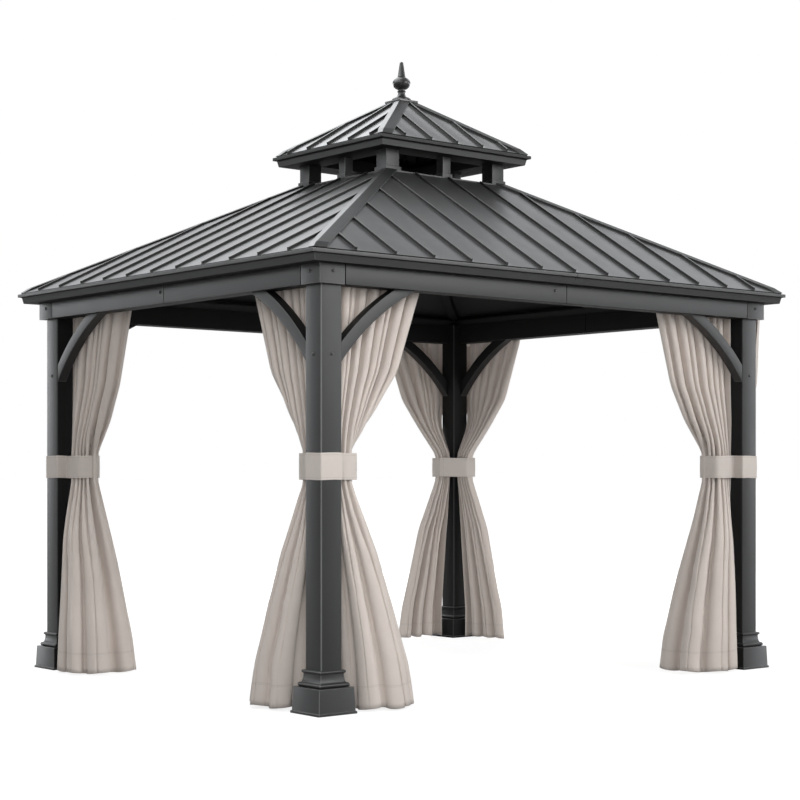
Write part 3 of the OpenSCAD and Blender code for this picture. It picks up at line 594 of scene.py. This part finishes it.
# One side of an eave: soffit, leaning band and lip, in one section whose points end on the mitre,
# in one length or split by a seam in the middle
def eaveSide(roof, side, split):
    e = eaveShape
    half, top, reach, run, rise, long = slopeOf(roof, side)
    over = reach - roof["frame"][1 if side % 2 == 0 else 0]
    widest = roof["lip"][0] - roof["frame"][0]
    wide = over / widest
    angle = math.atan2(rise, run)
    z = roof["lipZ"]
    seat = z - sheetShape["thick"] / math.cos(angle)
    section = np.array([
        [0, z - lipRise], [over - (e["step"] + e["lean"]) * wide, z - lipRise],
        [over - e["step"] * wide, z - e["lipH"]], [over, z - e["lipH"]], [over, z], [over - e["lipT"], z],
        [over - e["lipT"], seat + e["lipT"] * math.tan(angle)], [0, seat + over * math.tan(angle)]])
    loop = softLoop(section, [0.001, e["soft"], e["cove"], e["soft"], e["soft"], 0.002, 0.001, 0.001], 4)
    narrowing = (half - top) / run
    stop = half - e["gap"] / 2 - narrowing * (over - loop[:, 0])
    laid = np.stack([-(reach - over) - loop[:, 0], loop[:, 1]], -1)
    gap = e["seam"] / 2
    ends = [(-gap, -stop), (gap, stop)] if split else [(-stop, stop)]
    return [turned(rod(laid, *pair), side) for pair in ends]


for roof in (lowerRoof, upperRoof):
    for side, name in enumerate(sideNames):
        upper, lower, map2d = slopeSheet(roof, side)
        ring = np.concatenate([upper, lower[:, ::-1]], 1)
        mapRing = np.concatenate([map2d, map2d[:, ::-1]], 1)
        run, rise = slopeOf(roof, side)[3:5]
        outward = turned(np.array([0.0, -rise, run]) / math.hypot(run, rise), side)
        # side faces of the ribs get a near-black coat as painted shade
        makePiece(roof["prefix"] + "slope_" + name, [ring], [roof["prefix"] + name + "_roof"],
                  roof["look"], [(ribShadeLook, lambda n, m: np.abs(n @ outward) < coatShares["rib"])], mapRing)
    # hip cap wings turned to the front and back get a darker coat as painted shade
    makePiece(roof["prefix"] + "hipCaps", hipCaps(roof), [roof["prefix"] + "hip_caps"], capLook,
              [(capShadeLook, lambda n, m: np.abs(n[:, 1]) > np.abs(n[:, 0]))], smooth=8)

for side, name in enumerate(sideNames):
    makePiece("eave_" + name, eaveSide(lowerRoof, side, True), [name + "_eave"], eaveLook, eaveCoats)
# upper eaves: the lip and a strip just under it are dark as painted shade, the band below is lighter as painted light,
# the undersides take the near-black painted shade coat
grids = [eaveSide(upperRoof, side, False)[0] for side in range(4)]
bandTop = upperRoof["lipZ"] - eaveShape["lipH"] - eaveShape["lipShade"]
makePiece("upperEaves", grids, ["upper_eaves"], upperLipShadeLook, [
    (paintedShadeLook, soffit), (upperBandLitLook, lambda n, m: (m[:, 2] < bandTop) & (n[:, 2] > -coatShares["band"]))])
print("gazebo: roofs and eaves made")

# cupola posts on small feet

cupolaShape = {"corner": 0.095, "middle": 0.060, "footOver": 0.008, "footH": 0.022, "weather": 0.002,
               "soft": 0.002, "round": 0.004}
q = cupolaShape
legZ, legTop = span("cupola_corner_posts")[0][2], span("cupola_corner_posts")[1][2]


# Half width and height of a leg, from its foot up
def legOutline(size):
    half = size / 2
    foot, footZ = half + cupolaShape["footOver"], legZ + cupolaShape["footH"]
    return softLoop([[foot, legZ], [foot, footZ], [half, footZ + cupolaShape["weather"]], [half, legTop]],
                    cupolaShape["soft"], 4, True)


legX, legY = cupolaHigh[:2]
corners4 = [(sx * (legX - q["corner"] / 2), sy * (legY - q["corner"] / 2)) for sx, sy in cornerNames.values()]
middles4 = [(legX - q["middle"] / 2, 0), (q["middle"] / 2 - legX, 0),
            (0, legY - q["middle"] / 2), (0, q["middle"] / 2 - legY)]
for name, size, places, node in (("cupolaCornerPosts", q["corner"], corners4, "cupola_corner_posts"),
                                 ("cupolaMiddlePosts", q["middle"], middles4, "cupola_middle_posts")):
    grids = [squareStack(legOutline(size), x, y, q["round"]) for x, y in places]
    makePiece(name, grids, [node], coats=frameCoats)

# roof cap and turned finial

capShape = {"plate": 0.146, "plateH": 0.012, "spigot": 0.1354, "seat": 0.040, "soft": 0.003, "round": 0.004}
k = capShape
plateZ = capHigh[2] - k["plateH"]
capOutline = np.concatenate([
    [[k["spigot"] / 2, capLow[2]], [k["spigot"] / 2, plateZ]],
    softLoop([[k["spigot"] / 2, plateZ], [k["plate"] / 2, plateZ], [k["plate"] / 2, capHigh[2]],
              [k["seat"] / 2, capHigh[2]]], k["soft"], 4, True)[1:]])
makePiece("roofCapPlate", [squareStack(capOutline, 0, 0, k["round"])], ["roof_cap"], capLook)

finialShape = {"foot": 0.058, "rimH": 0.016, "flareH": 0.027, "neck": 0.021, "neckH": 0.025, "ball": 0.055,
               "ballH": 0.082, "spike": 0.023, "tip": 0.0115, "edge": 0.002, "fillet": 0.003, "tipFall": 0.004,
               "bellBeads": 1.6, "beadShares": (0.9, 0.8), "tipShare": 1.05, "steps": 64}
f = finialShape
finialZ = span("finial")[0][2]
flareZ = f["rimH"] + f["flareH"]
ballZ = flareZ + f["neckH"] + f["ballH"] / 2
spikeZ = ballZ + f["ballH"] / 2
tipZ = span("finial")[1][2] - finialZ - f["tip"]
rimR, bead, turnIn = f["rimH"] / 2, f["neckH"] / 4, f["fillet"]
bellZ = flareZ + f["bellBeads"] * bead
bellX = f["foot"] - rimR
finialOutline = np.concatenate([
    [[0, 0], [f["foot"] - f["edge"], 0], [f["foot"], f["edge"]]],
    arc(bellX, rimR, rimR, rimR, 0, 70, 8),
    arc(bellX, bellZ, bellX - f["neck"], bellZ - f["rimH"] - turnIn, 268, 182, 16),
    arc(f["neck"], bellZ + bead, bead * f["beadShares"][0], bead * f["beadShares"][1], -80, 80, 9),
    arc(0, ballZ, f["ball"], f["ballH"] / 2, -66, 62, 28),
    arc(f["spike"] + f["edge"], spikeZ - turnIn, turnIn, turnIn, 200, 100, 5),
    [[f["spike"], spikeZ + turnIn], [f["tip"] * f["tipShare"], tipZ - f["tipFall"]]],
    arc(0, tipZ, f["tip"], f["tip"], 8, 90, 8)])
grid = turning(finialOutline, (0, 0, finialZ), (1, 0, 0), (0, 1, 0), (0, 0, 1), f["steps"])
makePiece("turnedFinial", [grid], ["finial"], finialLook, smooth=38, shut=(False, True, False))
print("gazebo: cupola and finial made")

# round-headed bolts on washers, where braces, covers and beam halves are fixed

boltShape = {"washer": 0.0105, "washerH": 0.0016, "head": 0.0085, "headH": 0.0052, "sunk": 0.001, "edge": 0.0008,
             "edgeShare": 0.6, "rootIn": 0.0004, "rootH": 0.0006, "steps": 24,
             "braceZ": 1.776, "middleOff": 0.09, "sideOff": 0.04}
k = boltShape
boltOutline = np.concatenate([
    [[0, -k["sunk"]], [k["washer"], -k["sunk"]], [k["washer"], k["washerH"] * k["edgeShare"]],
     [k["washer"] - k["edge"], k["washerH"]], [k["head"] + k["rootIn"], k["washerH"]],
     [k["head"], k["washerH"] + k["rootH"]]],
    arc(0, k["washerH"] + k["sunk"], k["head"], k["headH"] - k["sunk"], 8, 90, 8)])
midBeam = (beamZ + beamTop) / 2
seats = []
for sx, sy in cornerNames.values():
    for outX, outY, z in ((beamX, beamY, midBeam), (halfW, halfD, k["braceZ"])):
        x, y = (outX + halfW - postSize) / 2, (outY + halfD - postSize) / 2
        seats += [((sx * x, sy * outY, z), (0, sy, 0)), ((sx * outX, sy * y, z), (sx, 0, 0))]
for way in (-1, 1):
    seats += [((way * k["middleOff"], way * beamY, midBeam), (0, way, 0)),
              ((way * beamX, -way * k["sideOff"], midBeam), (way, 0, 0))]
grids = [turning(boltOutline, place, (normal[1], normal[0], 0), (0, 0, 1), normal, k["steps"])
         for place, normal in seats]
makePiece("bolts", grids, smooth=30, shut=(False, True, False))
print("gazebo:", len(seats), "bolts made")

# curtains: inner ones behind the front and left beams, outer ones over the back and right beams
# each level, in mm: height; four points that bend the line of the folds, from the post to the free edge,
# along the beam and inwards; room for the folds at the post and at the free edge

curtainShape = {
    "rows": 72, "cols": 240, "line": 61, "cloth": 0.0012, "tone": (0.70, 0.632, 0.583), "thin": 0.12,
    "hemZ": 0.014, "hemDepth": 0.115, "hemWave": 0.005, "steep": 1.50, "turnLimits": (0.10, 0.95),
    "mergeZ": 1.12, "mergeH": 0.62, "slow": (0.05, 0.03), "sway": 0.012, "begin": 0.12, "uneven": 0.10,
    "bigHead": 0.10, "bigHem": 0.42, "wide": 0.64, "wideMore": 0.12,
    "inner": {"flat": (1.04, 2.14), "pairs": 4, "bulge": -1, "headZ": 2.1526, "levels": [
        [2153, 155, 106, 350, 106, 540, 108, 733, 115, 66, 80],
        [1707, 155, 106, 300, 102, 440, 106, 572, 122, 66, 85],
        [1498, 150, 105, 250, 85, 360, 90, 420, 150, 60, 90],
        [1310, 150, 100, 190, 80, 290, 80, 262, 190, 40, 85],
        [1135, 150, 100, 190, 80, 290, 80, 262, 190, 40, 85],
        [785, 172, 105, 200, -50, 460, -50, 365, 225, 45, 90],
        [224, 206, 95, 200, -150, 650, -170, 545, 255, 40, 105],
        [10, 206, 90, 200, -170, 700, -190, 580, 265, 40, 110]]},
    "swung": {"flat": (1.04, 2.14), "pairs": 4, "bulge": -1, "headZ": 2.1526, "levels": [
        [2153, 155, 106, 350, 104, 700, 92, 733, 160, 66, 56],
        [1707, 155, 106, 300, 102, 530, 90, 594, 165, 66, 62],
        [1498, 150, 105, 250, 85, 420, 85, 452, 178, 60, 76],
        [1310, 150, 100, 190, 80, 290, 80, 262, 190, 40, 85],
        [1135, 150, 100, 190, 80, 290, 80, 262, 190, 40, 85],
        [785, 172, 105, 200, -60, 470, -55, 375, 225, 45, 90],
        [224, 206, 95, 200, -155, 690, -170, 545, 255, 40, 105],
        [10, 206, 90, 200, -175, 745, -190, 580, 265, 40, 110]]},
    "outer": {"flat": (0.82, 2.12), "pairs": 3, "bulge": 1, "headZ": 2.1320, "levels": [
        [2133, 36, -83, 250, -83, 420, -83, 600, -83, 48, 48],
        [1707, 54, -62, 240, -60, 350, -60, 455, -60, 56, 80],
        [1600, 110, -38, 230, -30, 316, -28, 400, -28, 30, 78],
        [1498, 147, 2, 210, 2, 284, 2, 346, 2, 50, 76],
        [1310, 142, 78, 178, 78, 214, 78, 250, 78, 85, 85],
        [1135, 142, 78, 178, 78, 214, 78, 250, 78, 85, 85],
        [785, 170, 56, 235, 42, 300, 36, 364, 36, 110, 110],
        [224, 200, 40, 300, 12, 400, 6, 497, 6, 115, 115],
        [10, 200, 40, 310, 12, 420, 6, 531, 6, 115, 115]]}}


# Points on a curve through the first and last of four points, and the direction of the curve there
def bentLine(s, four):
    a, b, c, d = four
    line = (1 - s) ** 3 * a + 3 * s * (1 - s) ** 2 * b + 3 * s ** 2 * (1 - s) * c + s ** 3 * d
    ahead = (1 - s) ** 2 * (b - a) + 2 * s * (1 - s) * (c - b) + s ** 2 * (d - c)
    return line, ahead / np.linalg.norm(ahead, axis=-1)[..., None]


# Direction of the cloth along a row of round folds: steeply out over one leg, round a wide turn,
# steeply in over the next leg and round a narrow turn
def foldAngle(phase, wide, narrow):
    x = phase % 1.0
    near = np.minimum(x, 1 - x)
    turn = np.minimum(1, np.minimum(2 * near / wide, (1 - 2 * near) / narrow))
    return np.sign(0.5 - x) * curtainShape["steep"] * turn


# A pleated sheet of one width of cloth. In every row the turns take the share of the cloth that
# brings it to the length of the row's line, and the legs take the rest. Below the tie every second
# pleat gives its cloth to its neighbour, so that broad rolls reach the hem. A row is the sum of its
# small steps along the cloth's direction, laid along the level's bent line.
def pleatedSheet(kind, seed):
    k, c = curtainShape, curtainShape[kind]
    dice = np.random.default_rng(seed)
    v = np.linspace(0, 1, k["rows"])
    z = c["headZ"] + (k["hemZ"] - c["headZ"]) * v
    u = np.linspace(0, 1, k["cols"])[None]
    table = np.array(c["levels"])[::-1] / 1000
    fine = np.linspace(0, 2.2, 441)    # the levels are smoothed over 25 steps of 5 mm
    window = np.hanning(25) / np.hanning(25).sum()
    level = []
    for column in range(1, 11):
        row = np.interp(np.pad(fine, 12, mode="edge"), table[:, 0], table[:, column])
        level.append(np.interp(z, fine, np.convolve(row, window, mode="valid"))[:, None])
    four = [np.stack(level[i:i + 2], -1) for i in (0, 2, 4, 6)]
    line = bentLine(np.linspace(0, 1, k["line"])[None, :, None], four)[0]
    walk = np.linalg.norm(np.diff(line, axis=1, prepend=line[:, :1]), axis=2).cumsum(1)
    width = walk[:, -1:]
    steep = k["steep"]
    crowd = width / c["flat"][0]
    turns = np.clip((crowd - math.cos(steep)) / (math.sin(steep) / steep - math.cos(steep)), *k["turnLimits"])
    drift = dice.uniform(-1, 1, 8)
    merge = np.clip((k["mergeZ"] - z) / k["mergeH"], 0, 1)[:, None]
    merge = merge * merge * (3 - 2 * merge)
    slow = (k["slow"][0] * drift[2] * np.sin(2 * math.pi * u) +
            k["slow"][1] * drift[3] * np.sin(4 * math.pi * u + drift[4]))
    sway = k["sway"] * np.sin(2.4 * v[:, None] + 5 * drift[0] + 7 * u * drift[1])
    pair = c["pairs"] * (u + slow + sway) + k["begin"]
    uneven = k["uneven"] * np.sin(2.1 * np.floor(pair) + 9 * drift[6])
    big = 0.5 + (k["bigHead"] + uneven) * (1 - merge) + (k["bigHem"] + 0.6 * uneven) * merge
    inPair = pair % 1.0
    phase = np.where(inPair < big, inPair / big, (inPair - big) / (1 - big))
    wide = k["wide"] + k["wideMore"] * merge
    angle = foldAngle(phase, turns * wide, turns * (1 - wide))
    along = np.cumsum(np.cos(angle), 1)
    depth = np.cumsum(np.sin(angle), 1)
    one = k["cols"] // c["pairs"]
    padded = np.pad(depth, ((0, 0), (one // 2 + 1, one - one // 2)), mode="reflect")
    total = np.cumsum(padded, 1)
    depth = depth - ((total[:, one:] - total[:, :-one]) / one)[:, :k["cols"]]
    share = (along - along[:, :1]) / (along[:, -1:] - along[:, :1])
    depth = depth - (depth.max(1, keepdims=True) + depth.min(1, keepdims=True)) / 2
    depth = depth * width / (along[:, -1:] - along[:, :1])
    room = level[8] + (level[9] - level[8]) * share
    depth = depth * np.minimum(1, room / np.maximum(np.ptp(depth, axis=1)[:, None], 1e-6))
    even = np.stack([np.interp(row * w[-1], w, np.linspace(0, 1, k["line"])) for row, w in zip(share, walk)])
    line, ahead = bentLine(even[..., None], four)
    p = line[..., 0] + c["bulge"] * depth * ahead[..., 1]
    q = line[..., 1] - c["bulge"] * depth * ahead[..., 0]
    drop = z[:, None] + k["hemWave"] * v[:, None] ** 8 * np.sin(2 * math.pi * (c["pairs"] * u + drift[7]))
    return p, q, np.broadcast_to(drop, p.shape), u[0], v


hemAt = curtainShape["inner"]["flat"][1] - curtainShape["hemDepth"]
hemLines = [{"along": "across", "at": hemAt, "half": 0.0016},
            {"along": "across", "at": hemAt + 0.007, "half": 0.0012}]
clothLook = wovenCloth("curtainCloth", curtainShape["tone"], hemLines, curtainShape["thin"])

seed = 11
for corner, (sx, sy) in cornerNames.items():
    held = "inner" if corner == "front_left" else "swung"
    for way, kind in (("long", held if sy < 0 else "outer"), ("short", held if sx < 0 else "outer")):
        seed += 7
        p, q, drop, u, v = pleatedSheet(kind, seed)
        pair = (p, q) if way == "long" else (q, p)
        grid = inCorner(np.stack([*pair, drop], -1), corner)
        flat = curtainShape[kind]["flat"]
        map2d = np.stack(np.broadcast_arrays(u[None] * flat[0], v[:, None] * flat[1]), -1)
        sheet = makePiece("curtain_" + corner + "_" + way, [grid], [corner + "_curtains"],
                          clothLook, uv=map2d, smooth=180, shut=(False, False, False))
        thick = sheet.modifiers.new("cloth", "SOLIDIFY")
        thick.thickness = curtainShape["cloth"]
        thick.offset = 0
print("gazebo: curtains hung")

# tie-back bands round the post and its two bundles: round the bundles a band takes the outline of
# the furthest point in every direction, and from there it follows the faces of the post

bandShape = {"low": 1.155, "high": 1.290, "thick": 0.003, "steps": 240, "slack": 0.0003, "softness": 0.42,
             "edge": 0.0016, "round": 0.0015, "tone": (0.68, 0.622, 0.576), "thin": 0.15, "puff": 0.0008,
             "ripples": (0.0010, 0.0006), "stitch": 0.0013, "seams": {"across": (0.011, 0.124), "down": (0.008, 0.020)},
             "inner": [0.136, 0.288, 0.065, 0.221, 0.36], "outer": [0.136, 0.2546, 0.026, 0.130, 1.0]}
k = bandShape
bandH = k["high"] - k["low"]
bandLines = [{"along": way, "at": at, "half": k["stitch"]} for way, places in k["seams"].items() for at in places]
bandLook = wovenCloth("bandCloth", k["tone"], bandLines, k["thin"])
face = np.stack([np.full(15, k["thick"] / 2), np.linspace(k["edge"], bandH - k["edge"], 15)], -1)
bandLoop = np.concatenate([
    face, arc(0, bandH - k["round"], k["thick"] / 2, k["round"], 20, 160, 4),
    face[::-1] * [-1, 1], arc(0, k["round"], k["thick"] / 2, k["round"], 200, 340, 4)])


# outline of one gathered bundle: a rounded box that is shallower beside the post
def bundle(kind):
    first, last, low, high, near = bandShape[kind]
    a = np.linspace(0, 2 * math.pi, 96, endpoint=False)
    ahead, inwards = [(1 + np.sign(w) * np.abs(w) ** bandShape["softness"]) / 2 for w in (np.cos(a), np.sin(a))]
    return np.stack([first + (last - first) * ahead,
                     low + (high - low) * inwards * (near + (1 - near) * ahead)], -1)


ways = np.arange(45, 180.5, 0.5)    # directions up to where the band reaches the post
turn = np.radians(np.concatenate([ways, np.arange(-90, 45, 0.5)]))
facing = np.stack([np.cos(turn), np.sin(turn)], -1)
off = k["slack"] + k["thick"] / 2
for corner, (sx, sy) in cornerNames.items():
    kinds = ["inner" if sy < 0 else "outer", "inner" if sx < 0 else "outer"]
    held = np.concatenate([bundle(kinds[0]), bundle(kinds[1])[:, ::-1]])
    tight = held[np.argmax(facing @ held.T, 1)] + facing * off
    out, far = -off, postSize + off
    post = [[k[kinds[1]][2] - off, far], [out, far], [out, out], [far, out], [far, k[kinds[0]][2] - off]]
    tight = np.concatenate([tight[:len(ways)], post, tight[len(ways):]])
    steps = np.linalg.norm(np.diff(tight, axis=0, append=tight[:1]), axis=1)
    length = np.concatenate([[0], np.cumsum(steps)])
    evenly = np.linspace(0, length[-1], k["steps"], endpoint=False)
    path = np.stack([np.interp(evenly, length, np.append(tight[:, i], tight[0, i])) for i in (0, 1)], -1)
    path = path / 2 + (np.roll(path, 1, 0) + np.roll(path, -1, 0)) / 4
    ahead = np.roll(path, -1, 0) - np.roll(path, 1, 0)
    ahead = ahead / np.linalg.norm(ahead, axis=1)[:, None]
    outward = np.stack([ahead[:, 1], -ahead[:, 0]], -1)
    puff = k["puff"] * np.sin(math.pi * np.clip(bandLoop[:, 1] / bandH, 0, 1)) ** 2
    round1 = 2 * math.pi * evenly / length[-1]
    ripple = k["ripples"][0] * np.sin(3 * round1 + 1) + k["ripples"][1] * np.sin(7 * round1)
    bandXY = path[None] + (bandLoop[:, 0] + puff)[:, None, None] * outward[None]
    bandZ = np.broadcast_to((k["low"] + bandLoop[:, 1][:, None] + ripple[None])[..., None], bandXY.shape[:2] + (1,))
    bandGrid = np.concatenate([bandXY, bandZ], -1)
    bandMap = np.stack(np.broadcast_arrays(evenly[None], bandLoop[:, 1][:, None]), -1)
    band = makePiece(corner + "_tie_band", [inCorner(bandGrid, corner)], [corner + "_tie"], bandLook,
                     uv=bandMap, smooth=50, shut=(True, True, False))
    print("gazebo: tie-back", corner, round(float(length[-1]), 3), "m round")

# CAD nodes that stay: the curb takes the frame's coat; wall plates, rafters and rails inside take a darker coat as
# painted shade, and the cupola's frame and upper rafters the near-black painted shade coat

for name in ("wall_plates", "hip_rafters", "middle_rafters", "roof_curb", "cupola_frame", "upper_hip_rafters",
             "curtain_rails"):
    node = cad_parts[name]
    node.data.materials.clear()
    node.data.materials.append({"roof_curb": frameLook, "cupola_frame": paintedShadeLook,
                                "upper_hip_rafters": paintedShadeLook}.get(name, innerShadeLook))

# camera at the photograph's place, level, with the frame shifted up

view = {"place": (-6.915, -8.309, 1.205), "turn": -39.72,
        "lens": {"sensor_width": 36, "lens": 79.65, "shift_y": 0.0872, "clip_end": 400}}
camera = bpy.data.objects.new("camera", bpy.data.cameras.new("camera"))
scene.collection.objects.link(camera)
camera.location = view["place"]
camera.rotation_euler = (math.radians(90), 0, math.radians(view["turn"]))
for name, value in view["lens"].items():
    setattr(camera.data, name, value)
scene.camera = camera

# studio: a pale floor, a white surround and large soft lights

studio = {"floorTone": 0.32, "floorNear": 0.80, "floorGloss": 0.14, "ambient": 0.40,
          "glossLow": 0.14, "glossRight": 0.10, "glossSky": 2.3, "glossTop": 0.32, "glossFar": 1.5,
          "glossBack": 5.0, "glossSide": 5.5, "glossCup": 2.4, "floorReach": 150.0, "floorZ": -0.0005,
          "floorFade": (2.5, 9.0),
          "lights": [("key", (4.0, -9.5, 5.5), (0, 0, 1.2), 7.0, 640, True),
                     ("fill", (-4.0, -4.8, 2.6), (-1.2, -1.0, 1.2), 2.5, 95, False),
                     ("inner", (-0.4, -0.4, 1.0), (1.5, 1.2, 1.2), 1.2, 12, False),
                     ("side", (-8.5, 3.0, 4.5), (0, 0.5, 1.4), 5.0, 40, True),
                     ("top", (-2.0, 2.0, 9.5), (0, 0, 2.0), 7.0, 420, True),
                     ("behind", (6.5, 7.5, 3.6), (1.2, 1.0, 1.2), 6.0, 700, False)]}


# Which rays are seen by the camera, mirrored, or passed through a surface
def rayShares(w):
    seen = w.node("ShaderNodeLightPath", out="Is Camera Ray")
    return seen, seen.also("Is Glossy Ray"), seen.also("Is Transmission Ray")


floorMesh = bpy.data.meshes.new("floor")
reach = studio["floorReach"]
floorMesh.from_pydata([(x * reach, y * reach, studio["floorZ"]) for x, y in ((-1, -1), (1, -1), (1, 1), (-1, 1))],
                      [], [(0, 1, 2, 3)])
floor = bpy.data.objects.new("floor", floorMesh)
scene.collection.objects.link(floor)
floorLook, w = newLook("paleFloor")
seen, glossy, through = rayShares(w)
place = w.node("ShaderNodeTexCoord", out="Object")
away = w.node("ShaderNodeVectorMath", {"operation": "LENGTH"}, {0: place}, out="Value")
farShare = away.fade(*studio["floorFade"])
shown = w.sum("MAXIMUM", seen, through)
level = shown * (farShare * (1 - studio["floorNear"]) + studio["floorNear"]) + glossy * studio["floorGloss"]
cast = w.node("ShaderNodeBsdfDiffuse", None, {"Color": grey(studio["floorTone"])})
glow = w.node("ShaderNodeEmission", None, {"Color": w.blend(level.clip(), grey(0.0), grey(1.0)), "Strength": 1.0})
w.node("ShaderNodeOutputMaterial", None, {"Surface": w.node("ShaderNodeAddShader", None, {0: cast, 1: glow})})
floorMesh.materials.append(floorLook)

world = bpy.data.worlds.new("studioAir")
scene.world = world
world.use_nodes = True
world.node_tree.nodes.clear()
w = Wire(world.node_tree)
seen, glossy, through = rayShares(w)
# soft patches that only reflections see: each is a direction faded in along one or two axes
toX = w.node("ShaderNodeSeparateXYZ", None, {"Vector": w.node("ShaderNodeTexCoord", out="Generated")})
toY, toZ = toX.also("Y"), toX.also("Z")
low = 1 - toZ.fade(0.10, 0.12)
patches = {"glossSky": toZ.fade(0.30, 0.20) * toY.fade(0.40, 0.3), "glossTop": toZ.fade(0.45, 0.15),
           "glossCup": toZ.fade(0.13, 0.06) * ((-0.48 - toX) / 0.10).clip(),
           "glossFar": toX.fade(0.64, 0.12) * toZ.fade(0.30, 0.20),
           "glossBack": toY.fade(0.83, 0.07) * low, "glossSide": toX.fade(0.68, 0.10) * low}
gloss = (toX * 0.32 - toY * 0.385 + 0.5).clip() * studio["glossRight"]
for name, patch in patches.items():
    gloss = gloss + patch * studio[name]
gloss = gloss + studio["glossLow"]
white = w.sum("MAXIMUM", seen, through)
rest = 1 - w.sum("MAXIMUM", white, glossy)
strength = white + glossy * (1 - white) * gloss + rest * studio["ambient"]
tint = w.blend(glossy, grey(1.0), grey(0.985, -0.022))
air = w.node("ShaderNodeBackground", None, {"Color": tint, "Strength": strength})
w.node("ShaderNodeOutputWorld", None, {"Surface": air})

for name, place, aim, size, watts, mirrored in studio["lights"]:
    lamp = bpy.data.lights.new(name, "AREA")
    lamp.shape = "DISK"
    lamp.size = size
    lamp.energy = watts
    light = bpy.data.objects.new(name, lamp)
    scene.collection.objects.link(light)
    light.location = place
    to = np.array(aim) - np.array(place)
    light.rotation_euler = (math.acos(-to[2] / np.linalg.norm(to)), 0, math.atan2(to[1], to[0]) - math.pi / 2)
    light.visible_camera = False
    light.visible_glossy = mirrored
print("gazebo: camera, floor and lights set")
